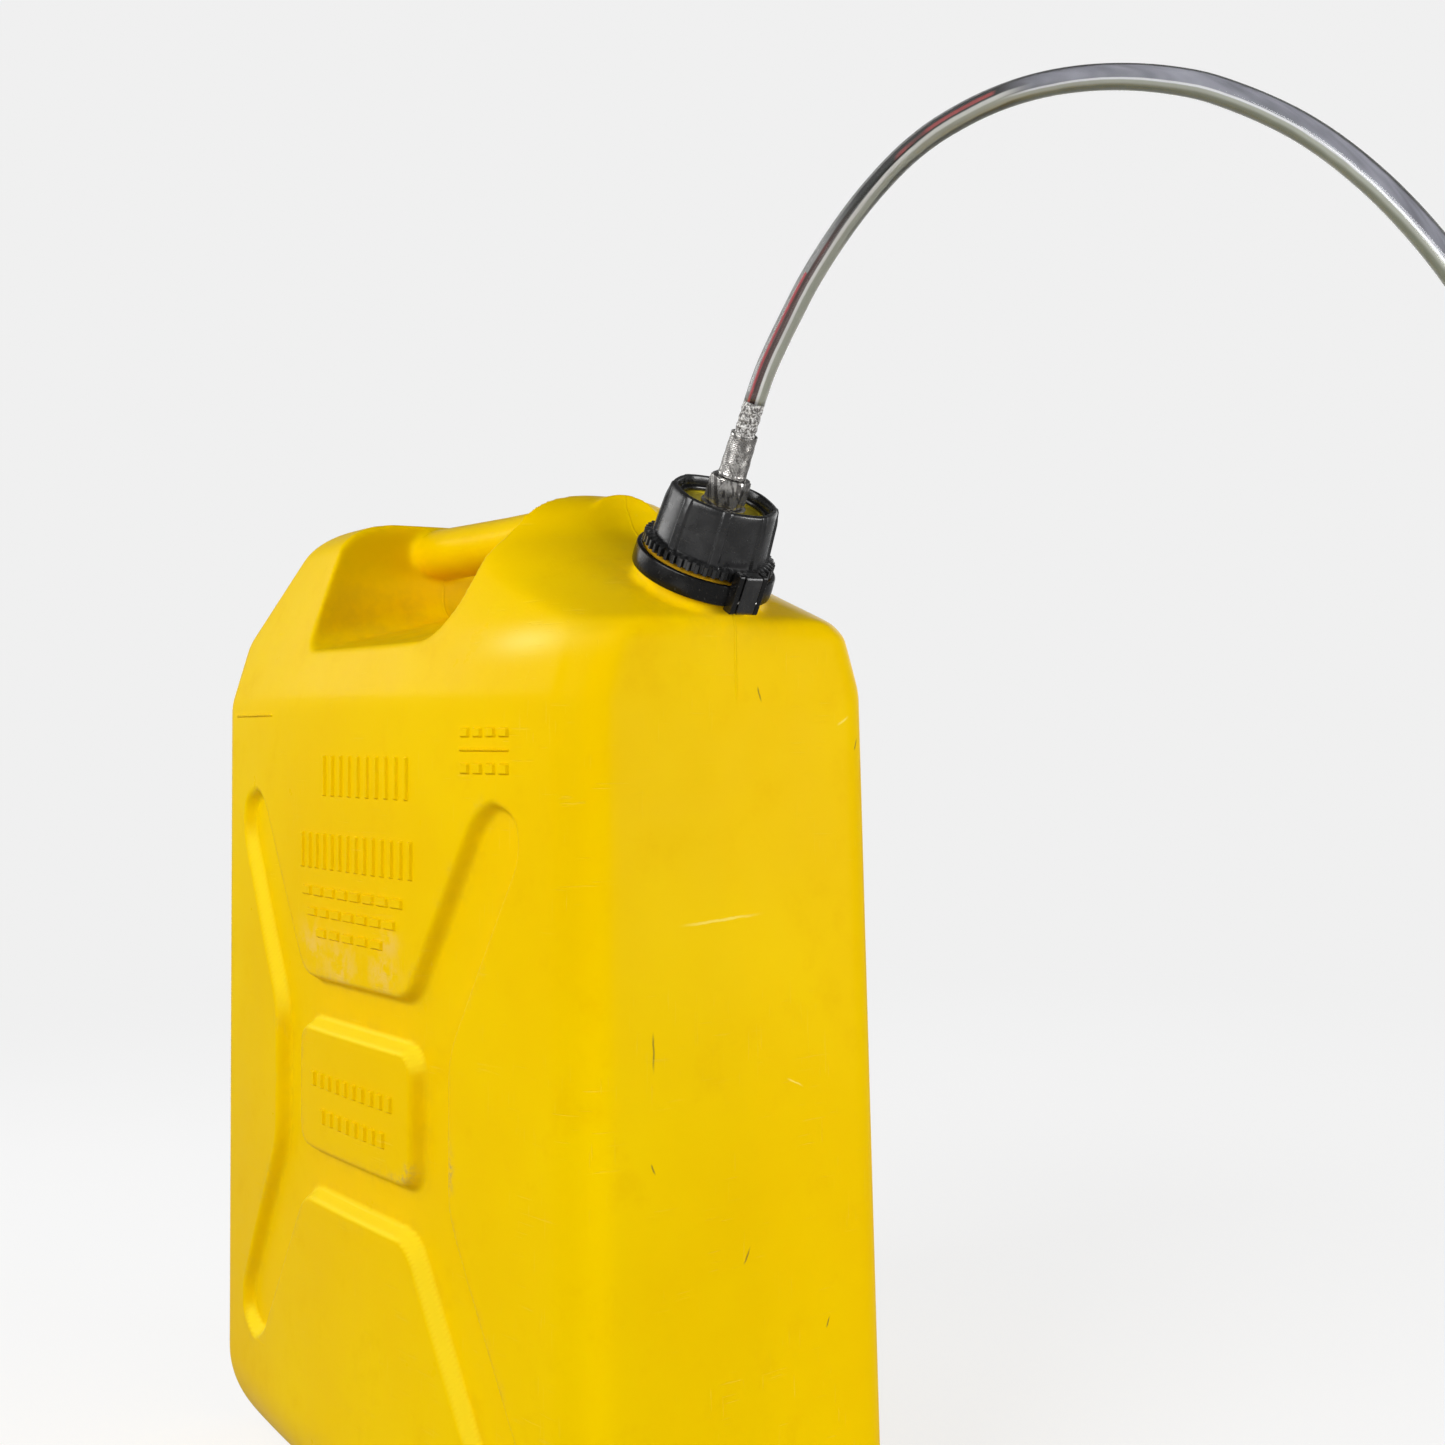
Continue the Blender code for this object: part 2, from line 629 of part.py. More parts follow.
def ring_piece(name, inner, outer, low, high, look, sides=32):
    outline = [(inner, low), (outer, low), (outer, high), (inner, high)]
    return add_object(name, turned(name, outline, sides), look, neck_frame())


# ---------------------------------------------------------------- fittings on the neck axis

def make_bulkhead():
    frame = neck_frame()
    ring_piece("insert_disc", 0.0053, 0.0186, DISC_BOTTOM, DISC_TOP, disc_yellow(), 48)
    ring_piece("neck_gasket", NECK_BORE_RADIUS + 0.0003, 0.0183, NECK_TOP + GAP, DISC_BOTTOM - GAP, rubber(), 40)
    ring_piece("upper_washer", 0.0053, 0.0084, DISC_TOP + GAP, 0.0298, rubber())
    body = [(0.0018, -0.0060), (0.0028, -0.0060), (0.0028, 0.0100), (0.0050, 0.0100), (0.0050, 0.0301),
            (0.0088, 0.0301), (0.0088, 0.0310), (0.0056, 0.0310), (0.0056, 0.0375), (0.0018, 0.0375)]
    add_object("bulkhead_body", turned("bulkhead_body", body, 36), chrome(), frame)
    ring_piece("lower_washer", 0.0053, 0.0084, 0.0255, DISC_BOTTOM - GAP, rubber())
    nut = [(0.0053, 0.0205), (0.0075, 0.0205), (0.0075, 0.0252), (0.0053, 0.0252)]
    add_object("lock_nut", turned("lock_nut", nut, 36, hexagon((1, 2))), chrome(), frame)


def fitting_nut(name, frame):
    """The swivel nut that pulls the hose tail onto its seat."""
    nut = [(0.0059, NUT_BOTTOM), (0.0065, NUT_BOTTOM), (NUT_HALF_FLATS, NUT_BOTTOM + 0.0006),
           (NUT_HALF_FLATS, NUT_TOP - 0.0007), (0.0064, NUT_TOP), (0.0033, NUT_TOP),
           (0.0033, NUT_TOP - 0.0012), (0.0059, NUT_TOP - 0.0012)]
    return add_object(name, turned(name, nut, 36, hexagon((1, 2, 3, 4))), chrome(), frame)


def hose_tail(name, frame):
    """The barbed stem: a seat flange inside the nut, then the barbs inside the hose."""
    low = NUT_TOP - 0.0027
    high = NUT_TOP - 0.0015
    stem = [(0.0015, low), (0.0054, low), (0.0054, high), (0.0029, high), (0.0029, 0.0470)]
    for barb in range(BARBS):
        foot = 0.0480 + 0.0036 * barb
        stem += [(0.0025, foot), (0.0021, foot + 0.0030), (0.0025, foot + 0.0032)]
    stem += [(0.0020, 0.0700), (0.0015, 0.0700)]
    return add_object(name, turned(name, stem, 24), chrome(), frame)


def ferrule(name, frame):
    """The knurled sleeve crimped over the hose end."""
    inner = HOSE_RADIUS + GAP
    outline = [(inner, FERRULE_BOTTOM), (FERRULE_RADIUS, FERRULE_BOTTOM),
               (FERRULE_RADIUS, FERRULE_TOP - 0.0006), (FERRULE_RADIUS - 0.0004, FERRULE_TOP), (inner, FERRULE_TOP)]
    return add_object(name, turned(name, outline, 32), steel(), frame)


def barb_cover(name, frame):
    """The last stretch of hose, stretched over the barbs."""
    outline = [(BARB_COVER_BORE, BARB_COVER_BOTTOM), (HOSE_RADIUS, BARB_COVER_BOTTOM),
               (HOSE_RADIUS, HOSE_START - GAP), (BARB_COVER_BORE, HOSE_START - GAP)]
    return add_object(name, turned(name, outline, 24), clear_hose(), frame)


def make_fittings():
    frame = neck_frame()
    ring_piece("seat_washer", 0.0019, 0.0052, NUT_TOP - 0.0042, NUT_TOP - 0.0030, rubber(), 24)
    fitting_nut("swivel_nut", frame)
    hose_tail("hose_tail", frame)
    ferrule("hose_ferrule", frame)
    barb_cover("hose_on_barb", frame)


def make_far_end():
    """The same tail, ferrule and nut at the hose's free end, laid on the floor."""
    flip = far_frame() @ Matrix.Translation((0.0, 0.0, HOSE_START)) @ Matrix.Rotation(math.pi, 4, "X")
    fitting_nut("end_nut", flip)
    hose_tail("end_tail", flip)
    ferrule("end_ferrule", flip)
    barb_cover("end_on_barb", flip)


def make_pickup():
    frame = neck_frame()
    tube = [(0.0031, DIP_TUBE_END), (DIP_TUBE_RADIUS, DIP_TUBE_END), (DIP_TUBE_RADIUS, 0.0090), (0.0031, 0.0090)]
    add_object("dip_tube", turned("dip_tube", tube, 24), pale_plastic(), frame)
    inner = DIP_TUBE_RADIUS + 0.0001
    low = DIP_TUBE_END - 0.010
    cage = [(0.0, low), (0.0085, low), (0.0092, low + 0.002), (0.0092, DIP_TUBE_END + 0.010),
            (0.0060, DIP_TUBE_END + 0.016), (inner, DIP_TUBE_END + 0.016), (inner, DIP_TUBE_END - 0.001),
            (0.0030, DIP_TUBE_END - 0.001), (0.0030, low + 0.003), (0.0, low + 0.003)]
    add_object("pickup_strainer", turned("pickup_strainer", cage, 28), black(), frame)


# ---------------------------------------------------------------- hose

# Hand-chosen route of the stretch that isn't coiled: up out of the fitting, over the arch,
# down to the floor and over the coil's outer turn into its inner turn.
HOSE_ROUTE = [
    (0.1807, 0.0000, 0.4594), (0.1838, 0.0001, 0.4649), (0.1892, 0.0006, 0.4732), (0.1990, 0.0016, 0.4857),
    (0.2127, 0.0027, 0.5009), (0.2318, 0.0043, 0.5170), (0.2500, 0.0059, 0.5284), (0.2674, 0.0074, 0.5356),
    (0.2900, 0.0093, 0.5398), (0.3112, 0.0111, 0.5402), (0.3332, 0.0130, 0.5372), (0.3560, 0.0149, 0.5308),
    (0.3796, 0.0169, 0.5204), (0.4092, 0.0194, 0.5001), (0.4363, 0.0220, 0.4714), (0.4560, 0.0260, 0.4380),
    (0.4660, 0.0320, 0.3950), (0.4695, 0.0400, 0.3450), (0.4705, 0.0480, 0.2900), (0.4705, 0.0550, 0.2300),
    (0.4700, 0.0610, 0.1700), (0.4695, 0.0644, 0.1150), (0.4691, 0.0648, 0.0800), (0.4690, 0.0640, 0.0592),
    (0.4690, 0.0612, 0.0420), (0.4690, 0.0514, 0.0274), (0.4690, 0.0388, 0.0185), (0.4690, 0.0274, 0.0151),
    (0.4690, 0.0130, 0.0124), (0.4690, 0.0000, 0.0101),
]


def smooth_route(points, spacing):
    """Points at an even spacing along a Catmull-Rom curve through the route."""
    route = [Vector(p) for p in points]
    route = [route[0] * 2.0 - route[1]] + route + [route[-1] * 2.0 - route[-2]]
    fine = []
    for a, b, c, d in zip(route, route[1:], route[2:], route[3:]):
        for step in range(40):
            t = step / 40.0
            fine.append(0.5 * ((2.0 * b) + (c - a) * t + (2.0 * a - 5.0 * b + 4.0 * c - d) * t * t
                               + (3.0 * b - a - 3.0 * c + d) * t ** 3))
    fine.append(route[-2])
    total = sum((q - p).length for p, q in zip(fine, fine[1:]))
    count = max(2, round(total / spacing))
    wanted = [total * i / count for i in range(count + 1)]
    result = [fine[0]]
    walked = 0.0
    nxt = 1
    for p, q in zip(fine, fine[1:]):
        step = (q - p).length
        while nxt < count and walked + step >= wanted[nxt]:
            result.append(p.lerp(q, (wanted[nxt] - walked) / step))
            nxt += 1
        walked += step
    result.append(fine[-1])
    return result


def tube(name, points, look):
    curve = bpy.data.curves.new(name, "CURVE")
    curve.dimensions = "3D"
    curve.bevel_depth = HOSE_RADIUS
    curve.bevel_resolution = 2
    curve.use_fill_caps = True
    curve.resolution_u = 1
    curve.render_resolution_u = 0
    spline = curve.splines.new("POLY")
    spline.points.add(len(points) - 1)
    for point, place in zip(spline.points, points):
        point.co = (*place, 1.0)
    thing = bpy.data.objects.new(name, curve)
    curve.materials.append(look)
    bpy.context.scene.collection.objects.link(thing)
    return thing


def make_hose():
    route = smooth_route(HOSE_ROUTE, 2.4 * 2.0 * HOSE_RADIUS)
    # The tube stops just above the coil's solid, which holds the hose's two turns
    tube("hose", [p for p in route if p.z > COIL_TOP + HOSE_RADIUS + GAP], clear_hose())
    run_x = COIL_X + COIL_OUTER_TURN
    steps = 5
    run = [Vector((run_x, RUN_OUT_START + (END_Y + GAP - RUN_OUT_START) * i / steps,
                   COIL_BOTTOM + GAP + HOSE_RADIUS + (END_Z - COIL_BOTTOM - GAP - HOSE_RADIUS) * i / steps))
           for i in range(steps + 1)]
    tube("hose_run_out", run, clear_hose())
    inner = COIL_INNER_TURN - HOSE_RADIUS - GAP
    outer = COIL_OUTER_TURN + HOSE_RADIUS + GAP
    high = COIL_TOP
    soft = 0.0030
    ring = [(inner, COIL_BOTTOM + soft), (inner + soft, COIL_BOTTOM), (outer - soft, COIL_BOTTOM),
            (outer, COIL_BOTTOM + soft), (outer, high - soft), (outer - soft, high), (inner + soft, high),
            (inner, high - soft)]
    place = Matrix.Translation((COIL_X, 0.0, 0.0))
    add_object("hose_coil", turned("hose_coil", ring, 48), clear_hose(), place)
    # The tie is a flat loop round the coil's section, on the -X side
    tie = add_object("hose_tie", block("hose_tie", (COIL_X - outer - 0.0013, -0.0035, 0.0),
                                       (COIL_X - inner + 0.0013, 0.0035, high + 0.0013)), black())
    combine(tie, block("tie_room", (COIL_X - outer - GAP, -0.02, COIL_BOTTOM - GAP),
                       (COIL_X - inner + GAP, 0.02, high + GAP)), "DIFFERENCE")


def main():
    for thing in list(bpy.data.objects):
        bpy.data.objects.remove(thing)
    make_can_body()
    make_lock_ring()
    make_latch()
    make_cap()
    make_bulkhead()
    make_fittings()
    make_pickup()
    make_hose()
    make_far_end()


main()
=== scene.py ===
"""The worn yellow jerry can with its capped hose fitting, as seen from beside its neck."""
import math

import bmesh
import bpy
import numpy as np
from mathutils import Matrix, Vector


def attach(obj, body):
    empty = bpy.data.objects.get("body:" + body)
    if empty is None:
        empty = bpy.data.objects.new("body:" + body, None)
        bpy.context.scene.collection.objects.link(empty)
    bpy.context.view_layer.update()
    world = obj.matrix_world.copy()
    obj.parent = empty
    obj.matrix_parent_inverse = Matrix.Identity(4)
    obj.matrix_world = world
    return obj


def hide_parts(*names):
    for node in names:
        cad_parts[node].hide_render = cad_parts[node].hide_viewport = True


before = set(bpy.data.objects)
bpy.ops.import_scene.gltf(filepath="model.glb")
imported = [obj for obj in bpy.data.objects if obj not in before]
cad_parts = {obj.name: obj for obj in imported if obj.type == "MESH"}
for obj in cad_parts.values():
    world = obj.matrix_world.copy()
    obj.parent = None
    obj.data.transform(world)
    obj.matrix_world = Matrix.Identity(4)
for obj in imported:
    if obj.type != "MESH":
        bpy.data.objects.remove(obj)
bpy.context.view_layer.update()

# ------------------------------------------------------------------ camera

CAMERA_AT = (0.7096, -0.4101, 0.3421)
CAMERA_YAW = math.radians(53.3584)
CAMERA_DOWN = math.radians(0.0887)
CAMERA_ROLL = math.radians(-0.7511)
SENSOR = 36.0
LENS = 45.0746


def make_camera():
    forward = Vector((-math.sin(CAMERA_YAW) * math.cos(CAMERA_DOWN),
                      math.cos(CAMERA_YAW) * math.cos(CAMERA_DOWN), -math.sin(CAMERA_DOWN)))
    right = Vector((math.cos(CAMERA_YAW), math.sin(CAMERA_YAW), 0.0))
    up = right.cross(forward)
    rolled_right = right * math.cos(CAMERA_ROLL) + up * math.sin(CAMERA_ROLL)
    rolled_up = up * math.cos(CAMERA_ROLL) - right * math.sin(CAMERA_ROLL)
    data = bpy.data.cameras.new("camera")
    data.sensor_width = SENSOR
    data.sensor_fit = "HORIZONTAL"
    data.lens = LENS
    data.clip_start = 0.01
    data.clip_end = 60.0
    camera = bpy.data.objects.new("camera", data)
    turn = Matrix((rolled_right, rolled_up, -forward)).transposed().to_4x4()
    camera.matrix_world = Matrix.Translation(CAMERA_AT) @ turn
    bpy.context.scene.collection.objects.link(camera)
    bpy.context.scene.camera = camera


make_camera()

# ------------------------------------------------------------------ shared places

NECK = Vector((0.1454, 0.0, 0.3970))
NECK_TILT = math.radians(29.5)
NECK_FRAME = Matrix.Translation(NECK) @ Matrix.Rotation(NECK_TILT, 4, "Y")
HOSE_START = 0.0716
COIL = Vector((0.4305, 0.0, 0.0))
COIL_INNER_TURN = 0.0385
COIL_OUTER_TURN = 0.0553
COIL_LOW = 0.0056            # height of the hose's middle where it lies on the floor
END_Y, END_Z = -0.0880, 0.0078    # where the hose ends in its far fitting
FAR_FRAME = (Matrix.Translation((COIL.x + COIL_OUTER_TURN, END_Y, END_Z))
             @ Matrix.Rotation(math.radians(90.0), 4, "X") @ Matrix.Translation((0.0, 0.0, HOSE_START))
             @ Matrix.Rotation(math.pi, 4, "X"))

# ------------------------------------------------------------------ node helpers


def feed(tree, socket, value):
    """Link an output to a socket, or set the socket to a plain value."""
    if hasattr(value, "is_output"):
        tree.links.new(value, socket)
    else:
        socket.default_value = value


class Look:
    """A procedural material: short calls that add nodes and return their outputs."""

    def __init__(self, name):
        self.material = bpy.data.materials.new(name)
        self.material.use_nodes = True
        self.tree = self.material.node_tree
        self.shader = self.tree.nodes["Principled BSDF"]
        self.place = self.node("TexCoord").outputs["Object"]
        self.bumps = []

    def node(self, kind, **inputs):
        """Add a node and fill the named inputs; an underscore in a name stands for a space."""
        node = self.tree.nodes.new("ShaderNode" + kind)
        for name, value in inputs.items():
            feed(self.tree, node.inputs[name.replace("_", " ")], value)
        return node

    def set(self, name, value):
        feed(self.tree, self.shader.inputs[name], value)

    def noise(self, scale, detail=3.0, rough=0.55, stretch=None):
        place = self.place
        if stretch:
            place = self.node("Mapping", Vector=place, Scale=stretch).outputs["Vector"]
        return self.node("TexNoise", Scale=scale, Detail=detail, Roughness=rough, Vector=place).outputs["Fac"]

    def axis(self, letter):
        return self.node("SeparateXYZ", Vector=self.place).outputs[letter]

    def attribute(self, name):
        node = self.node("Attribute")
        node.attribute_name = name
        return node.outputs["Fac"]

    def math(self, operation, *values, clamp=False):
        node = self.node("Math")
        node.operation = operation
        node.use_clamp = clamp
        for index, value in enumerate(values):
            feed(self.tree, node.inputs[index], value)
        return node.outputs[0]

    def chain(self, operation, values):
        """Join several values by one operation."""
        joined = values[0]
        for value in values[1:]:
            joined = self.math(operation, joined, value)
        return joined

    def times(self, *values):
        return self.chain("MULTIPLY", values)

    def band(self, value, low, high, out_low=0.0, out_high=1.0):
        """Map a value smoothly from one range to another."""
        node = self.node("MapRange", Value=value, From_Min=low, From_Max=high, To_Min=out_low,
                         To_Max=out_high)
        node.interpolation_type = "SMOOTHSTEP"
        return node.outputs["Result"]

    def distance(self, point):
        """How far the shaded place lies from a fixed one."""
        node = self.node("VectorMath", Vector=self.place)
        node.operation = "DISTANCE"
        node.inputs[1].default_value = point
        return node.outputs["Value"]

    def mix(self, share, a, b):
        """Mix two colours, each a tuple or an output."""
        node = self.node("Mix")
        node.data_type = "RGBA"
        for index, value in ((0, share), (6, a), (7, b)):
            feed(self.tree, node.inputs[index], (*value, 1.0) if isinstance(value, tuple) else value)
        return node.outputs[2]

    def bump(self, height, strength, distance):
        node = self.node("Bump", Strength=strength, Distance=distance, Height=height)
        if self.bumps:
            self.tree.links.new(self.bumps[-1], node.inputs["Normal"])
        self.bumps.append(node.outputs["Normal"])
        self.set("Normal", self.bumps[-1])

    def scratch(self, u, v, start, end, width):
        """A mask along one straight scratch in the plane of two coordinates."""
        du, dv = end[0] - start[0], end[1] - start[1]
        size = math.hypot(du, dv)
        du, dv = du / size, dv / size
        along = self.math("ADD", self.math("MULTIPLY_ADD", u, du, -start[0] * du - start[1] * dv),
                          self.times(v, dv))
        across = self.math("ADD", self.math("MULTIPLY_ADD", u, -dv, start[0] * dv - start[1] * du),
                           self.times(v, du))
        across = self.math("ADD", across, self.math("MULTIPLY_ADD", self.noise(160.0, 2.0), 0.0016, -0.0008))
        return self.times(self.band(self.math("ABSOLUTE", across), width * 0.3, width, 1.0, 0.0),
                          self.times(self.band(along, 0.0, size * 0.3),
                                     self.band(along, size * 0.6, size, 1.0, 0.0)))


# ------------------------------------------------------------------ materials

# Scratches on the narrow face, as (start, end, half width) in its own (y, z)
SCRATCHES_DARK = (
    ((-0.0400, 0.2300), (-0.0405, 0.2130), 0.0006), ((0.0585, 0.3290), (0.0610, 0.3345), 0.0006),
    ((-0.0010, 0.1370), (0.0030, 0.1440), 0.0005), ((0.0390, 0.1050), (0.0410, 0.1100), 0.0005),
    ((-0.0420, 0.1820), (-0.0400, 0.1770), 0.0005), ((0.0100, 0.3550), (0.0120, 0.3480), 0.0005))
SCRATCHES_PALE = (
    ((-0.0290, 0.2665), (0.0130, 0.2685), 0.0007), ((0.0490, 0.3390), (0.0560, 0.3430), 0.0006),
    ((0.0210, 0.2050), (0.0300, 0.2000), 0.0004))
NARROW_FACE_X = (0.148, 0.162)    # the scratches fade in between these


def yellow_plastic():
    look = Look("worn_yellow_plastic")
    broad, cloud = look.noise(5.0, 4.0, 0.6), look.noise(38.0, 5.0, 0.65)
    fine, patch = look.noise(330.0, 6.0, 0.75), look.noise(26.0, 3.0, 0.6)
    y, z = look.axis("Y"), look.axis("Z")
    color = look.mix(look.band(broad, 0.3, 0.72), (0.865, 0.540, 0.0), (0.915, 0.612, 0.0))
    color = look.mix(look.band(cloud, 0.52, 0.78, 0.0, 0.30), color, (0.78, 0.44, 0.0))
    # Marks where the mesh code measured them: grime and painted shade in hollows, dull ridges, chalky rubs,
    # painted highlights on upward walls and on a fold, and painted shade on the neck's bead
    grime_and_shade = look.times(look.attribute("hollow"), look.band(look.noise(70.0, 5.0, 0.7), 0.35, 0.7))
    rub = look.times(look.attribute("ridge"), look.band(patch, 0.50, 0.64), look.band(fine, 0.40, 0.62))
    chalk = look.times(look.attribute("chalk"), look.band(look.noise(110.0, 4.0, 0.7), 0.42, 0.60))
    on_end = look.band(look.axis("X"), *NARROW_FACE_X)
    dark, pale = [look.times(look.chain("MAXIMUM", [look.scratch(y, z, *mark) for mark in marks]), on_end)
                  for marks in (SCRATCHES_DARK, SCRATCHES_PALE)]
    # Hair scratches all over, stretched two ways
    hair = look.noise(14.0, 2.0, 0.5, stretch=(3.0, 3.0, 60.0))
    hair_b = look.noise(17.0, 2.0, 0.5, stretch=(50.0, 50.0, 3.0))
    hairs = look.math("MAXIMUM", look.band(hair, 0.665, 0.70), look.band(hair_b, 0.675, 0.71))
    hairs = look.times(hairs, look.band(patch, 0.45, 0.6))
    # Below, the upward walls and the fold get painted highlights, the neck's bead painted shade, and the
    # hollows grime with painted shade
    for mask, share, over in (
            (grime_and_shade, 0.30, (0.55, 0.36, 0.02)), (rub, 0.75, (0.42, 0.29, 0.13)),
            (look.attribute("upward_wall_highlight"), 0.9, (1.0, 0.76, 0.02)), (chalk, 0.42, (0.84, 0.56, 0.17)),
            (look.attribute("fold_highlight"), 0.60, (1.0, 0.84, 0.17)),
            (look.attribute("bead_shade"), 0.8, (0.34, 0.16, 0.012)), (dark, 0.65, (0.16, 0.10, 0.03)),
            (pale, 0.7, (1.0, 0.78, 0.14)), (hairs, 0.13, (1.0, 0.74, 0.10))):
        color = look.mix(look.times(mask, share), color, over)
    look.set("Base Color", color)
    rough = look.band(cloud, 0.25, 0.75, 0.27, 0.37)
    scuffed = look.times(look.math("MAXIMUM", rub, hairs), 0.22)
    look.set("Roughness", look.math("ADD", rough, scuffed, clamp=True))
    look.set("Specular IOR Level", 0.025)
    look.set("Specular Tint", (1.0, 0.82, 0.28, 1.0))
    look.set("Subsurface Weight", 0.06)
    look.set("Subsurface Radius", (0.012, 0.006, 0.001))
    look.set("Subsurface Scale", 0.25)
    look.bump(look.noise(9.0, 2.0, 0.5), 0.35, 0.0022)
    look.bump(look.noise(620.0, 2.0, 0.6), 0.16, 0.0003)
    cuts = look.math("MAXIMUM", dark, look.times(hairs, 0.5))
    look.bump(look.math("SUBTRACT", look.times(pale, 0.3), cuts), 0.5, 0.0003)
    # The mould's parting line runs over the top in the plane y = 0
    seam = look.band(look.math("ABSOLUTE", y), 0.0002, 0.0007, 1.0, 0.0)
    look.bump(look.times(seam, look.band(z, 0.345, 0.36)), 0.55, 0.0006)
    return look.material


def black_plastic(name, dust, tone, shine):
    """Satin black plastic: dust is how strongly pale specks show, tone its middle grey."""
    look = Look(name)
    cloud = look.noise(120.0, 4.0, 0.6)
    deep, light = (tuple(tone * c for c in tint) for tint in ((0.7, 0.7, 0.75), (1.6, 1.6, 1.65)))
    color = look.mix(look.band(cloud, 0.3, 0.8), deep, light)
    specks = look.band(look.noise(900.0, 4.0, 0.7), 0.60, 0.72)
    look.set("Base Color", look.mix(look.times(specks, dust), color, (0.10, 0.095, 0.085)))
    look.set("Roughness", look.band(cloud, 0.2, 0.8, 0.20, 0.34))
    look.set("Specular IOR Level", shine)
    look.bump(look.noise(1500.0, 2.0, 0.5), 0.10, 0.0002)
    look.bump(look.noise(160.0, 2.0, 0.5), 0.18, 0.0006)
    return look.material


METAL = (0.66, 0.64, 0.61)


def polished_metal(name, rough_low, rough_high, speckle, metallic, streaks):
    """Plated metal with dark specks, and dark streaks along its axis that are painted reflection bands, each
    as strong as its number.
    """
    look = Look(name)
    cloud = look.noise(260.0, 5.0, 0.65)
    tone = look.mix(look.band(cloud, 0.35, 0.75), METAL, tuple(c * 0.78 for c in METAL))
    spots = look.band(look.noise(2100.0, 3.0, 0.6), 0.62 - 0.14 * speckle, 0.70 - 0.10 * speckle)
    tone = look.mix(look.times(spots, speckle), tone, (0.07, 0.06, 0.055))
    # Dark streaks along the axis are painted reflection bands
    reflected_bands = look.band(look.noise(520.0, 2.0, 0.5, stretch=(1.0, 1.0, 0.05)), 0.47, 0.57)
    look.set("Base Color", look.mix(look.times(reflected_bands, streaks), tone, (0.09, 0.08, 0.075)))
    look.set("Metallic", metallic)
    look.set("Roughness", look.band(cloud, 0.3, 0.8, rough_low, rough_high))
    look.bump(look.noise(1100.0, 3.0, 0.6), 0.10, 0.0003)
    return look.material


def clouded_look(name, cloud_at, colors, color_band, rough_band, bump):
    """A plain material with two colours and two roughnesses in soft clouds, and a fine grain."""
    look = Look(name)
    cloud = look.noise(*cloud_at)
    look.set("Base Color", look.mix(look.band(cloud, *color_band) if color_band else cloud, *colors))
    look.set("Roughness", look.band(cloud, *rough_band))
    grain, strength, depth = bump
    look.bump(look.noise(grain, 2.0), strength, depth)
    return look.material


def hose_wall_look():
    look = Look("clear_hose_wall")
    streak = look.noise(60.0, 3.0, 0.6)
    look.set("Base Color", look.mix(streak, (0.86, 0.87, 0.87), (0.94, 0.95, 0.96)))
    look.set("Roughness", look.band(streak, 0.3, 0.7, 0.03, 0.09))
    look.set("Transmission Weight", 0.985)
    look.set("IOR", 1.38)
    look.bump(look.noise(45.0, 2.0), 0.10, 0.0004)
    return look.material


def hose_sleeve_look():
    look = Look("stretched_hose_wall")
    grain = look.noise(1100.0, 3.0, 0.65)
    # Pale and dark specks on the sleeve are painted glints off the barbs under it
    look.set("Base Color", look.mix(look.band(grain, 0.42, 0.60), (0.13, 0.12, 0.11), (0.93, 0.91, 0.88)))
    look.set("Roughness", look.band(grain, 0.3, 0.7, 0.12, 0.30))
    look.set("Transmission Weight", 0.25)
    look.set("IOR", 1.40)
    look.bump(grain, 0.6, 0.0006)
    return look.material


def hose_bore_look():
    """Painted reflections and shade in stripes along the bore: dark outside the arch, bluish in the middle,
    pale inside it.
    """
    look = Look("hose_bore_painted_reflections")
    outside = look.attribute("outside")
    wander = look.noise(26.0, 3.0, 0.6)
    fine = look.noise(9.0, 4.0, 0.7, stretch=(1.0, 12.0, 1.0))
    level = look.math("ADD", outside, look.math("MULTIPLY_ADD", wander, 0.30, -0.15))

    def lay(color, over, *edges):
        """Change from one colour to the next across an edge of the level."""
        return look.mix(look.band(level, *edges), color, over)

    # Beyond the top of the arch
    reflected_streaks = look.mix(look.band(fine, 0.35, 0.65), (0.16, 0.16, 0.19), (0.40, 0.40, 0.46))
    low = lay((0.26, 0.27, 0.20), (0.50, 0.51, 0.43), -0.96, -0.80)
    far = lay(low, lay(reflected_streaks, (0.020, 0.020, 0.020), 0.66, 0.84), -0.70, -0.60)
    # The pale line here is a painted highlight
    line = look.times(look.band(level, -0.70, -0.62), look.band(level, -0.54, -0.46, 1.0, 0.0))
    far = look.mix(line, far, (0.90, 0.90, 0.92))
    # On the rising stretch, with a broken red stripe
    near = lay((0.72, 0.71, 0.66), (0.022, 0.021, 0.018), -0.12, 0.06)
    near = lay(near, (0.24, 0.24, 0.23), 0.80, 0.95)
    near = lay(lay((0.12, 0.12, 0.09), (0.42, 0.42, 0.34), -0.95, -0.84), near, -0.50, -0.34)
    red = look.band(look.noise(38.0, 1.0, 0.5), 0.50, 0.58)
    stripe = look.times(look.band(level, 0.10, 0.22), look.band(level, 0.45, 0.60, 1.0, 0.0))
    near = look.mix(look.times(look.times(red, stripe), 0.8), near, (0.42, 0.06, 0.06))
    # The last stretch above the fitting
    x = look.axis("X")
    foot = lay((0.085, 0.045, 0.040), (0.30, 0.30, 0.29), 0.42, 0.62)
    foot = lay((0.80, 0.79, 0.75), foot, -0.16, -0.04)
    foot = lay((0.40, 0.40, 0.32), foot, -0.50, -0.36)
    near = look.mix(look.band(x, 0.215, 0.240), foot, near)
    look.set("Base Color", look.mix(look.band(x, 0.298, 0.316), near, far))
    look.set("Roughness", look.band(wander, 0.3, 0.7, 0.10, 0.24))
    look.bump(look.noise(60.0, 2.0), 0.10, 0.0004)
    return look.material


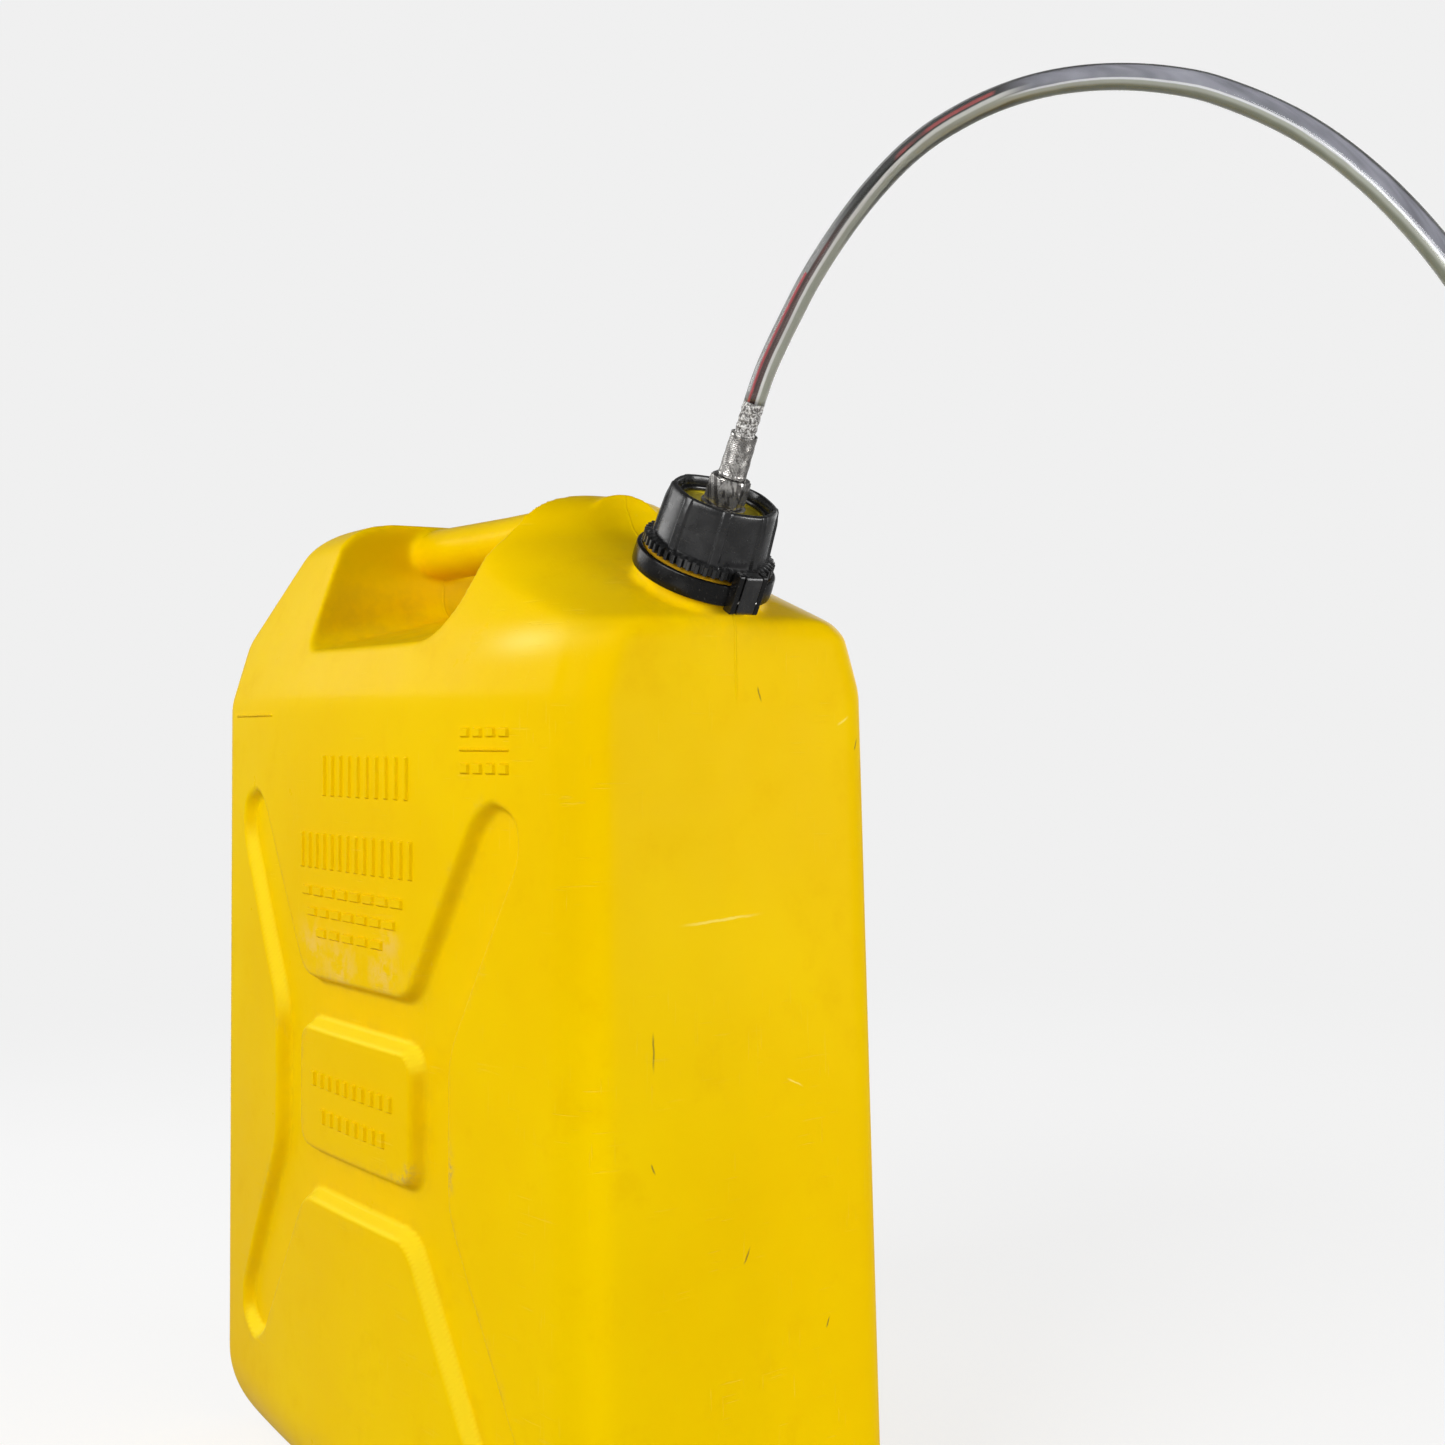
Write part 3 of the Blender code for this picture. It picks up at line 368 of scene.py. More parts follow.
YELLOW = yellow_plastic()
BLACK_CAP = black_plastic("cap_black_plastic", 0.35, 0.012, 0.58)
BLACK_RING = black_plastic("ring_black_plastic", 0.6, 0.003, 0.30)
CHROME = polished_metal("fitting_chrome_plate", 0.10, 0.22, 0.35, 0.86, 0.80)
KNURL = polished_metal("ferrule_nickel_plate", 0.20, 0.36, 0.85, 0.85, 0.55)
RUBBER = clouded_look("seal_rubber_black", (300.0, 4.0, 0.6), ((0.012, 0.012, 0.012), (0.035, 0.034, 0.033)),
                      None, (0.2, 0.8, 0.6, 0.85), (1600.0, 0.2, 0.0003))
DISC = clouded_look("disc_yellow_plastic", (140.0, 4.0, 0.6), ((0.83, 0.66, 0.03), (0.62, 0.47, 0.02)),
                    (0.3, 0.8), (0.2, 0.8, 0.35, 0.55), (900.0, 0.15, 0.0002))
PALE = clouded_look("pickup_pale_plastic", (90.0, 4.0, 0.6), ((0.74, 0.73, 0.65), (0.86, 0.85, 0.79)),
                    None, (0.2, 0.8, 0.35, 0.55), (700.0, 0.15, 0.0002))
HOSE_WALL = hose_wall_look()
HOSE_SLEEVE = hose_sleeve_look()
HOSE_BORE = hose_bore_look()
RED_LINE = clouded_look("hose_red_line", (90.0, 3.0, 0.6), ((0.50, 0.05, 0.06), (0.62, 0.12, 0.12)),
                        None, (0.3, 0.7, 0.3, 0.5), (300.0, 0.2, 0.0002))

NODE_LOOKS = {"latch_pin": KNURL, "neck_gasket": RUBBER, "upper_washer": RUBBER, "lower_washer": RUBBER,
              "seat_washer": RUBBER, "bulkhead_body": CHROME, "lock_nut": CHROME, "hose_tail": CHROME,
              "end_tail": CHROME, "dip_tube": PALE, "pickup_strainer": BLACK_RING}
for node, look in NODE_LOOKS.items():
    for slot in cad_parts[node].material_slots:
        slot.material = look

# ------------------------------------------------------------------ mesh helpers


def add_piece(name, mesh, material, body, node=None, smooth=True, place=None):
    piece = bpy.data.objects.new(name, mesh)
    mesh.materials.append(material)
    bpy.context.scene.collection.objects.link(piece)
    if place is not None:
        mesh.transform(place)
    if smooth:
        mesh.shade_smooth()
    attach(piece, body)
    if node:
        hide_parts(node)
    return piece


def mesh_from(name, vertices, faces):
    mesh = bpy.data.meshes.new(name)
    mesh.from_pydata([tuple(v) for v in vertices], [], faces)
    work = bmesh.new()
    work.from_mesh(mesh)
    bmesh.ops.recalc_face_normals(work, faces=work.faces)
    work.to_mesh(mesh)
    work.free()
    return mesh


def sweep_faces(count, sections, base=0, closed=False):
    """Faces along sections of count points: a closed ring, or a run with a cap at each end."""
    faces = []
    for level in range(sections if closed else sections - 1):
        low = base + level * count
        high = base + (level + 1) % sections * count
        faces += [(low + i, low + (i + 1) % count, high + (i + 1) % count, high + i) for i in range(count)]
    if not closed:
        last = base + (sections - 1) * count
        faces += [tuple(reversed(range(base, base + count))), tuple(range(last, last + count))]
    return faces


def loft(name, sections):
    vertices = [point for section in sections for point in section]
    return mesh_from(name, vertices, sweep_faces(len(sections[0]), len(sections)))


def circle(sides):
    return [2.0 * math.pi * side / sides for side in range(sides)]


def rounded(outline, cuts, steps):
    """A closed 2-D outline whose corners are replaced by curves that cut back by each length."""
    points = np.array(outline)
    result = []
    for i, here in enumerate(points):
        before, after = points[i - 1] - here, points[(i + 1) % len(points)] - here
        lengths = np.linalg.norm(before), np.linalg.norm(after)
        cut = min(cuts[i], *(length * 0.48 for length in lengths))
        start, end = here + before / lengths[0] * cut, here + after / lengths[1] * cut
        for t in (step / steps for step in range(steps + 1)):
            result.append(start * (1 - t) ** 2 + here * 2 * t * (1 - t) + end * t * t)
    return np.array(result)


def smooth_step(x):
    x = np.clip(x, 0.0, 1.0)
    return x * x * (3.0 - 2.0 * x)


def turned(name, outline, sides, reach=None):
    """Turn a closed outline about +Z. reach(radius, height, angle) returns the radius to use."""
    vertices = []
    rings = []
    for radius, height in outline:
        if radius < 1e-7:
            rings.append([len(vertices)] * sides)
            vertices.append((0.0, 0.0, height))
            continue
        rings.append(range(len(vertices), len(vertices) + sides))
        for angle in circle(sides):
            r = reach(radius, height, angle) if reach else radius
            vertices.append((r * math.cos(angle), r * math.sin(angle), height))
    faces = []
    for here, there in zip(rings, rings[1:] + rings[:1]):
        for i in range(sides):
            j = (i + 1) % sides
            # Where a ring is one point on the axis, the face there is a triangle
            corners = list(dict.fromkeys((here[i], here[j], there[j], there[i])))
            if len(corners) > 2:
                faces.append(corners)
    return mesh_from(name, vertices, faces)


def crisp(piece, width, segments=2, angle=30.0):
    """Bevel a piece's sharp edges and keep its flats flat."""
    bevel = piece.modifiers.new("bevel", "BEVEL")
    bevel.width = width
    bevel.segments = segments
    bevel.limit_method = "ANGLE"
    bevel.angle_limit = math.radians(angle)
    normals = piece.modifiers.new("normals", "WEIGHTED_NORMAL")
    normals.keep_sharp = True


def applied(piece):
    """A new mesh of a piece with its modifiers applied."""
    bpy.context.view_layer.update()
    graph = bpy.context.evaluated_depsgraph_get()
    return bpy.data.meshes.new_from_object(piece.evaluated_get(graph))


def boolean(piece, tool, operation):
    cut = piece.modifiers.new("cut", "BOOLEAN")
    cut.operation = operation
    cut.solver = "EXACT"
    cut.object = tool
    result = applied(piece)
    piece.modifiers.clear()
    piece.data = result
    bpy.data.objects.remove(tool)


def loose(name, mesh):
    thing = bpy.data.objects.new(name, mesh)
    bpy.context.scene.collection.objects.link(thing)
    return thing


# ------------------------------------------------------------------ the hose

HOSE_RADIUS = 0.0040
BORE_RADIUS = 0.0029
HOSE_ROUTE = [
    (0.1807, 0.0000, 0.4594), (0.1838, 0.0001, 0.4649), (0.1892, 0.0006, 0.4732), (0.1990, 0.0016, 0.4857),
    (0.2127, 0.0027, 0.5009), (0.2318, 0.0043, 0.5170), (0.2500, 0.0059, 0.5284), (0.2674, 0.0074, 0.5356),
    (0.2900, 0.0093, 0.5398), (0.3112, 0.0111, 0.5402), (0.3332, 0.0130, 0.5372), (0.3560, 0.0149, 0.5308),
    (0.3796, 0.0169, 0.5204), (0.4092, 0.0194, 0.5001), (0.4363, 0.0220, 0.4714), (0.4560, 0.0260, 0.4380),
    (0.4660, 0.0320, 0.3950), (0.4695, 0.0400, 0.3450), (0.4705, 0.0480, 0.2900), (0.4705, 0.0550, 0.2300),
    (0.4700, 0.0610, 0.1700), (0.4695, 0.0644, 0.1150), (0.4691, 0.0648, 0.0800), (0.4690, 0.0640, 0.0592),
    (0.4690, 0.0612, 0.0420), (0.4690, 0.0514, 0.0274), (0.4690, 0.0388, 0.0185), (0.4690, 0.0274, 0.0151),
    (0.4690, 0.0130, 0.0124), (0.4690, 0.0000, 0.0101),
]


def smooth_route(points, spacing):
    route = [Vector(p) for p in points]
    route = [route[0] * 2.0 - route[1]] + route + [route[-1] * 2.0 - route[-2]]
    fine = []
    for a, b, c, d in zip(route, route[1:], route[2:], route[3:]):
        for step in range(40):
            t = step / 40.0
            fine.append(0.5 * ((2.0 * b) + (c - a) * t + (2.0 * a - 5.0 * b + 4.0 * c - d) * t * t
                               + (3.0 * b - a - 3.0 * c + d) * t ** 3))
    fine.append(route[-2])
    total = sum((q - p).length for p, q in zip(fine, fine[1:]))
    count = max(2, round(total / spacing))
    result = [fine[0]]
    walked = 0.0
    index = 1
    for p, q in zip(fine, fine[1:]):
        step = (q - p).length
        while index < count and walked + step >= total * index / count:
            result.append(p.lerp(q, (total * index / count - walked) / step))
            index += 1
        walked += step
    result.append(fine[-1])
    return result


def coil_points(first_z):
    """Two turns of a flat spiral from the route's end, which is at the coil's +X side."""
    points = []
    steps = 56
    for step in range(1, steps + 1):
        share = step / steps
        angle = -4.0 * math.pi * share
        radius = COIL_INNER_TURN + (COIL_OUTER_TURN - COIL_INNER_TURN) * share
        fall = max(0.0, 1.0 - share * 9.0)
        points.append((COIL.x + radius * math.cos(angle), radius * math.sin(angle),
                       COIL_LOW + (first_z - COIL_LOW) * fall * fall))
    return points


def headings(points):
    """Each point of a line with the direction that the line takes there."""
    last = len(points) - 1
    return [(here, (points[min(i + 1, last)] - points[max(i - 1, 0)]).normalized())
            for i, here in enumerate(points)]


def tube_mesh(name, points, radius, sides):
    """A closed tube along points, with rings that don't twist."""
    sections = []
    side = Vector((0.0, 1.0, 0.0))
    for here, ahead in headings(points):
        side = (side - ahead * side.dot(ahead)).normalized()
        other = ahead.cross(side)
        sections.append([here + (side * math.cos(a) + other * math.sin(a)) * radius for a in circle(sides)])
    return loft(name, sections)


STREAK_FACING = Vector((0.80, -0.60, 0.0))    # the painted reflection streaks are counted across the hose, square to this


def mark_outside(mesh, points, sides):
    """Store how far across the hose each vertex lies, from -1 inside the arch to 1 outside it."""
    values = []
    for i, (here, ahead) in enumerate(headings(points)):
        across = STREAK_FACING.cross(ahead).normalized()
        for vertex in mesh.vertices[i * sides:(i + 1) * sides]:
            out = vertex.co - here
            values.append((out - ahead * out.dot(ahead)).normalized().dot(across))
    values += [0.0] * (len(mesh.vertices) - len(values))
    add_layer(mesh, "outside", values)


def add_layer(mesh, name, values):
    mesh.attributes.new(name, "FLOAT", "POINT").data.foreach_set("value", values)


ROUTE = smooth_route(HOSE_ROUTE, 0.004)
COILED = coil_points(ROUTE[-1].z)
RUN_OUT_END = Vector((COIL.x + COIL_OUTER_TURN, END_Y, END_Z))
RUN_OUT = [Vector(COILED[-1]).lerp(RUN_OUT_END, i / 8.0) for i in range(1, 9)]
HOSE_PATH = smooth_route(ROUTE[:-2:3] + [ROUTE[-1]] + COILED + RUN_OUT, 0.004)
RED_LINE_POINTS = 14
RED_LINE_SIDE = Vector((0.35, -0.80, 0.35))
RED_LINE_RADIUS = 0.0005


def make_hose():
    wall = add_piece("clear_hose", tube_mesh("clear_hose", HOSE_PATH, HOSE_RADIUS, 28), HOSE_WALL, "can")
    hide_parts("hose", "hose_coil", "hose_run_out")
    first, last = HOSE_PATH[0].lerp(HOSE_PATH[1], 0.04), HOSE_PATH[-1].lerp(HOSE_PATH[-2], 0.04)
    inside = [first] + HOSE_PATH[1:-1] + [last]
    # The bore carries painted reflections and shade as stripes along the hose
    painted_bore = tube_mesh("hose_bore", inside, BORE_RADIUS, 32)
    mark_outside(painted_bore, inside, 32)
    bore = add_piece("hose_bore", painted_bore, HOSE_BORE, "can")
    # A thin red line runs inside the wall for the first stretch above the fitting
    line_path = [here + (RED_LINE_SIDE - ahead * RED_LINE_SIDE.dot(ahead)).normalized() * BORE_RADIUS
                 for here, ahead in headings(inside[:RED_LINE_POINTS])]
    line = add_piece("hose_red_line", tube_mesh("hose_red_line", line_path, RED_LINE_RADIUS, 8), RED_LINE,
                     "can")
    return wall, bore, line


# ------------------------------------------------------------------ fittings

NUT_FLAT_RADIUS = 0.0070     # across the flats, from the axis
NUT_CORNER_LIMIT = 0.00808
NUT_CHAMFER_SLOPE = 0.35
NUT_CHAMFERS = (0.0322, 0.0407)
NUT_END_RADIUS = 0.0073


def fitting_nut(name, place, body, node):
    """A hex nut with chamfered ends and a recess round the tail."""
    outline = [(0.0033, 0.0412), (0.0033, 0.0405), (0.0050, 0.0400), (0.0052, 0.0316),
               (NUT_FLAT_RADIUS, 0.0314), (NUT_FLAT_RADIUS, 0.0413), (0.0066, 0.0420), (0.0053, 0.0420),
               (0.0047, 0.0412)]
    sixth = math.pi / 3.0
    low, high = NUT_CHAMFERS

    def reach(radius, height, angle):
        if radius < 0.0065:
            return radius
        off = (angle % sixth) - sixth / 2.0
        limit = NUT_CORNER_LIMIT - NUT_CHAMFER_SLOPE * (max(0.0, height - high) + max(0.0, low - height))
        return min(radius / math.cos(off), NUT_END_RADIUS if height > 0.0415 else limit)

    fine = []
    for (r0, h0), (r1, h1) in zip(outline, outline[1:] + outline[:1]):
        parts = 8 if abs(h1 - h0) > 0.005 else 3
        fine += [(r0 + (r1 - r0) * i / parts, h0 + (h1 - h0) * i / parts) for i in range(parts)]
    nut = add_piece(name, turned(name, fine, 120, reach), CHROME, body, node, place=place, smooth=False)
    crisp(nut, 0.00022, 2, 25.0)
    return nut


FERRULE_LOW, FERRULE_HIGH = 0.0423, 0.0590
FERRULE_RADIUS = 0.0055
FERRULE_TAPER = 0.0004
FERRULE_PLAIN_EDGE = 0.0012
KNURL_TURNS = 28.0
KNURL_ROW = 0.00090
KNURL_DEPTH = 0.00020
CRIMP_DEPTH = 0.000064


def ferrule(name, place, node):
    """A knurled sleeve, slightly narrower at its mouth, with three soft crimp waves along it."""
    low, high = FERRULE_LOW, FERRULE_HIGH
    rows = 76
    outline = [(FERRULE_RADIUS - FERRULE_TAPER * i / rows, low + (high - low) * i / rows)
               for i in range(rows + 1)]
    outline += [(0.0048, high + 0.00012), (0.0046, high), (0.0044, high - 0.0004), (0.0043, 0.0560),
                (0.0043, low)]

    def reach(radius, height, angle):
        if radius < 0.00485:
            return radius
        if height < low + FERRULE_PLAIN_EDGE or height > high - FERRULE_PLAIN_EDGE:
            return radius + 0.00004
        row = (height - low) / KNURL_ROW
        turn = angle * KNURL_TURNS / (2.0 * math.pi)
        diamond = abs(math.sin(math.pi * (turn + row))) * abs(math.sin(math.pi * (turn - row)))
        wave = math.cos((height - low) / (high - low) * math.pi * 6.0)
        return radius - KNURL_DEPTH * (1.0 - diamond) + CRIMP_DEPTH * wave

    return add_piece(name, turned(name, outline, 168, reach), KNURL, "can", node, place=place)


BARB_SPACING = 0.0036


def barb_hose(name, place, node):
    """Clear hose stretched over the barbs: it bulges a little over each one."""
    low, high = 0.0464, HOSE_START - 0.0002
    rows = 70
    outline = []
    for i in range(rows + 1):
        h = low + (high - low) * i / rows
        swell = 0.00016 * math.sin((h - low) / BARB_SPACING * 2.0 * math.pi)
        outline.append((HOSE_RADIUS + swell * min(1.0, (high - h) / 0.003), h))
    outline += [(BORE_RADIUS, high), (BORE_RADIUS, low)]
    return add_piece(name, turned(name, outline, 40), HOSE_SLEEVE, "can", node, place=place)


def barb_foil(name, place):
    """The nickelled barb under the stretched hose, cut into short steps, as it shows through."""
    outline = [(0.0004, 0.0480)]
    for low in (0.0484 + BARB_SPACING * barb for barb in range(6)):
        outline += [(0.0023, low), (0.0028, low + 0.0004), (0.0022, low + 0.0030)]
    outline += [(0.0016, 0.0700), (0.0004, 0.0700)]

    def reach(radius, height, angle):
        return radius + 0.00012 * math.sin(angle * 11.0 + height * 4000.0)

    return add_piece(name, turned(name, outline, 44, reach), KNURL, "can", place=place)


TIE_GAP = 0.0010             # between the strap and the coil
TIE_LOW, TIE_HIGH = 0.0010, 0.0106
TIE_CORNER = 0.0036
TIE_HALF_WIDTH, TIE_THICKNESS = 0.0024, 0.0008


def make_tie():
    """A strap round the coil's section on its -X side, with a small buckle."""
    outer = COIL_OUTER_TURN + HOSE_RADIUS + TIE_GAP
    inner = COIL_INNER_TURN - HOSE_RADIUS - TIE_GAP
    box = ((-outer, TIE_LOW), (-inner, TIE_LOW), (-inner, TIE_HIGH), (-outer, TIE_HIGH))
    path = [Vector((x, 0.0, z)) for x, z in rounded(box, [TIE_CORNER] * 4, 6)]
    center = sum(path, Vector()) / len(path)
    half, thick = TIE_HALF_WIDTH, TIE_THICKNESS
    vertices = []
    for i, here in enumerate(path):
        ahead = (path[(i + 1) % len(path)] - path[i - 1]).normalized()
        out = Vector((ahead.z, 0.0, -ahead.x))
        if out.dot(here - center) < 0.0:
            out = -out
        for y, o in ((-half, 0.0), (half, 0.0), (half, thick), (-half, thick)):
            vertices.append(here + out * o + Vector((0.0, y, 0.0)))
    strap = mesh_from("coil_tie", vertices, sweep_faces(4, len(path), closed=True))
    place = Matrix.Translation((COIL.x, 0.0, 0.0))
    tie = add_piece("coil_tie", strap, BLACK_RING, "can", "hose_tie", place=place)
    crisp(tie, 0.0002)
    x0, x1, y = -outer - 0.0012, -outer + 0.0004, 0.0034
    buckle = loft("coil_tie_head", [[(x0, -y, z), (x1, -y, z), (x1, y, z), (x0, y, z)]
                                    for z in (0.0036, 0.0080)])
    head = add_piece("coil_tie_head", buckle, BLACK_RING, "can", place=place)
    crisp(head, 0.0006, 3)
    return tie, head


wall, bore, red = make_hose()
fitting_nut("hex_swivel_nut", NECK_FRAME, "nut", "swivel_nut")
ferrule("knurled_ferrule", NECK_FRAME, "hose_ferrule")
barb_hose("stretched_hose", NECK_FRAME, "hose_on_barb")
barb_foil("barb_steps", NECK_FRAME)
end_nut = fitting_nut("end_hex_nut", FAR_FRAME, "can", "end_nut")
end_ferrule = ferrule("end_knurled_ferrule", FAR_FRAME, "end_ferrule")
end_sleeve = barb_hose("end_stretched_hose", FAR_FRAME, "end_on_barb")
end_foil = barb_foil("end_barb_steps", FAR_FRAME)
tie, tie_head = make_tie()

# ------------------------------------------------------------------ the can

BODY_WIDTH = 0.3340
BODY_DEPTH = 0.1566
BODY_WIDTH_GROWTH = 0.0048
BODY_DEPTH_GROWTH = 0.0165
FACE_CROWN = 0.0095
CORNER_RADIUS = 0.018
ROOF_CORNER_RADIUS = 0.045
ROOF_CORNER_START = 0.372
ROOF_CORNER_FULL = 0.402
ROOF_CROWN = 0.005
ROOF_CROWN_START = 0.374
ROOF_CROWN_FULL = 0.382
CORNER_LIMIT = 0.8
BASE_RADIUS_X = 0.036
BASE_RADIUS_Y = 0.022
BODY_TOP = 0.436
TOP_EDGE_RADIUS = 0.014
TOP_EDGE_SPREAD = 1.6
TOP_EDGE_SPREAD_LEFT = 0.6
SHOULDER_BLEND = 0.0035
FACE_BLEND = 0.0012
HUMP_FOOT_BLEND = 0.008
HUMP_WALL_LEAN = 0.12
HUMP_WALL_FOOT = 0.41
LEFT_SLOPE_FOOT = 0.3825
LEFT_SLOPE = 1.02
SIDE_LEAN = 0.364
SIDE_LEAN_FOOT = 0.354
HUMP_WALL_X = 0.099
NECK_SLOPE_DROP = 0.0040
POCKET_LEFT = -0.068
POCKET_RIGHT = 0.066
POCKET_DRAFT = 0.004
POCKET_RIGHT_LEAN = 0.34
POCKET_FLOOR = 0.374
POCKET_FLOOR_FALL = 0.008    # from the floor's height to the tool's ends
POCKET_FLOOR_MIDDLE = 0.392
POCKET_LEFT_RADIUS = 0.009
POCKET_RIGHT_RADIUS = 0.030
POCKET_REACH = 0.11
POCKET_TOP = 0.47
HANDLE_Z = 0.4225
HANDLE_LEFT_ROOT = 0.014     # how far the bar runs into the left hump
HANDLE_RIGHT_ROOT = 0.028
HANDLE_HALF_HEIGHT = 0.0115
HANDLE_HALF_DEPTH = 0.0150
CHANNEL_Z = 0.1825
CHANNEL_MOST = 0.0066
CHANNEL_FADE = 0.0014        # how much shallower the arms' ends are
CHANNEL_WALL = 0.0050
ISLAND_HALF_WIDTH = 0.0520
ISLAND_HALF_HEIGHT = 0.0255
VOXEL = 0.0013


def smooth_min(a, b, blend):
    overlap = max(blend - abs(a - b), 0.0) / blend
    return min(a, b) - overlap * overlap * blend / 4.0


def smooth_max(a, b, blend):
    return -smooth_min(-a, -b, blend)


def body_extents(z):
    width = BODY_WIDTH / 2.0 + BODY_WIDTH_GROWTH * (LEFT_SLOPE_FOOT - z)
    depth = BODY_DEPTH / 2.0 + BODY_DEPTH_GROWTH * (LEFT_SLOPE_FOOT - z)
    left_slope = BODY_WIDTH / 2.0 - (z - LEFT_SLOPE_FOOT) / LEFT_SLOPE
    left = smooth_min(width, left_slope, SHOULDER_BLEND)
    drop = NECK_SLOPE_DROP / math.cos(NECK_TILT)
    neck_slope = NECK.x + (NECK.z - drop - z) / math.tan(NECK_TILT)
    hump_wall = HUMP_WALL_X - HUMP_WALL_LEAN * (z - HUMP_WALL_FOOT)
    right = smooth_min(width, smooth_max(neck_slope, hump_wall, HUMP_FOOT_BLEND), SHOULDER_BLEND)
    lean = BODY_DEPTH / 2.0 - (z - SIDE_LEAN_FOOT) * SIDE_LEAN
    half_depth = smooth_min(depth, lean, FACE_BLEND)
    over = z - (BODY_TOP - TOP_EDGE_RADIUS)
    if over > 0.0:
        inset = TOP_EDGE_RADIUS - math.sqrt(max(TOP_EDGE_RADIUS ** 2 - over ** 2, 0.0))
        left -= inset * TOP_EDGE_SPREAD_LEFT
        right -= inset * TOP_EDGE_SPREAD
        half_depth -= inset * TOP_EDGE_SPREAD
    if z < BASE_RADIUS_X:
        under = 1.0 - z / BASE_RADIUS_X
        rounding = 1.0 - math.sqrt(max(1.0 - under * under, 0.0))
        left -= BASE_RADIUS_X * rounding
        right -= BASE_RADIUS_X * rounding
        half_depth -= BASE_RADIUS_Y * rounding
    return left, right, half_depth


def roof_corner(z):
    share = (z - ROOF_CORNER_START) / (ROOF_CORNER_FULL - ROOF_CORNER_START)
    return CORNER_RADIUS + (ROOF_CORNER_RADIUS - CORNER_RADIUS) * smooth_step(share)


def roof_fall(z):
    """How far the neck's end falls back at its two corners."""
    share = (z - ROOF_CROWN_START) / (ROOF_CROWN_FULL - ROOF_CROWN_START)
    return ROOF_CROWN * min(max(share, 0.0), 1.0)


def face_bow(x, half_width, half_depth):
    """How far the broad face falls back at x from its middle."""
    crown = FACE_CROWN * min(1.0, half_depth / (BODY_DEPTH / 2.0))
    return crown * (x / half_width) ** 2


def body_section(z, corner_steps=14, long_steps=48, short_steps=16):
    left, right, half_depth = body_extents(z)
    middle = (right - left) / 2.0
    half_width = (right + left) / 2.0
    most = min(half_width, half_depth) * CORNER_LIMIT
    neck_end = min(roof_corner(z), most)
    other_end = min(CORNER_RADIUS, most)
    corners = ((1, -1, -90, neck_end), (1, 1, 0, neck_end), (-1, 1, 90, other_end), (-1, -1, 180, other_end))

    def on_corner(corner, turn):
        sx, sy, start, radius = corner
        angle = math.radians(start + turn)
        return (sx * (half_width - radius) + radius * math.cos(angle),
                sy * (half_depth - radius) + radius * math.sin(angle))

    points = []
    for index, corner in enumerate(corners):
        points += [on_corner(corner, 90.0 * step / corner_steps) for step in range(corner_steps + 1)]
        side_steps = short_steps if index % 2 == 0 else long_steps
        ax, ay = points[-1]
        bx, by = on_corner(corners[(index + 1) % 4], 0.0)
        for step in range(1, side_steps):
            share = step / side_steps
            points.append((ax + (bx - ax) * share, ay + (by - ay) * share))
    ring = []
    for x, y in points:
        bow = face_bow(x, half_width, half_depth) * (abs(y) / half_depth)
        dip = roof_fall(z) * max(x / half_width, 0.0) ** 2 * (y / half_depth) ** 2
        ring.append(Vector((middle + x - dip, y - math.copysign(bow, y), z)))
    return ring


WALL_TOP = 0.335             # finer levels from here up


def body_levels():
    base = [BASE_RADIUS_X * (1.0 - math.cos(0.5 * math.pi * i / 16)) for i in range(16)]
    wall = [BASE_RADIUS_X + (WALL_TOP - BASE_RADIUS_X) * i / 60 for i in range(60)]
    roof = [WALL_TOP + (BODY_TOP - WALL_TOP) * i / 90 for i in range(91)]
    return base + wall + roof


def arc(x, z, radius, first, last, steps):
    """Points on a circle that touches the height z at x."""
    turns = [first + (last - first) * step / steps for step in range(steps + 1)]
    return [(x + radius * math.sin(a), z + radius * (1.0 - math.cos(a))) for a in turns]


def pocket_mesh():
    """The tool that cuts the hand hold: its left wall is upright, its right wall leans."""
    sections = []
    lean = math.pi / 2.0 - math.atan(POCKET_RIGHT_LEAN)
    end_floor = POCKET_FLOOR - POCKET_FLOOR_FALL
    for y, draft, floor in ((-POCKET_REACH, 0.0, end_floor), (0.0, POCKET_DRAFT, POCKET_FLOOR_MIDDLE),
                            (POCKET_REACH, 0.0, end_floor)):
        left, right = POCKET_LEFT + draft, POCKET_RIGHT - draft
        outline = arc(left + POCKET_LEFT_RADIUS, floor, POCKET_LEFT_RADIUS, -math.pi / 2.0, 0.0, 6)
        start = right - POCKET_RIGHT_RADIUS * math.tan(lean / 2.0)
        outline += arc(start, floor, POCKET_RIGHT_RADIUS, 0.0, lean, 12)
        x, z = outline[-1]
        outline += [(x + (POCKET_TOP - z) * POCKET_RIGHT_LEAN, POCKET_TOP), (left, POCKET_TOP)]
        sections.append([Vector((px, y, pz)) for px, pz in outline])
    return loft("pocket", sections)


def handle_mesh():
    sections = []
    left, right = POCKET_LEFT - HANDLE_LEFT_ROOT, POCKET_RIGHT + HANDLE_RIGHT_ROOT
    for share in (step / 40 for step in range(41)):
        end = abs(2.0 * share - 1.0)
        flare = 1.0 + 0.10 * end ** 3 + 0.35 * max(0.0, end - 0.72)
        rise = HANDLE_HALF_HEIGHT * (1.0 + 0.06 * end)
        sections.append([Vector((left + (right - left) * share, HANDLE_HALF_DEPTH * flare * math.cos(angle),
                                 HANDLE_Z + rise * math.sin(angle))) for angle in circle(48)])
    return loft("handle", sections)


def four_fold(quarter, radii):
    outline = []
    cuts = []
    for sx, sz in ((1, 1), (-1, 1), (-1, -1), (1, -1)):
        turn = 1 if sx * sz > 0 else -1
        outline += [(sx * x, sz * z) for x, z in quarter][::turn]
        cuts += radii[::turn]
    return rounded(outline, cuts, 6)


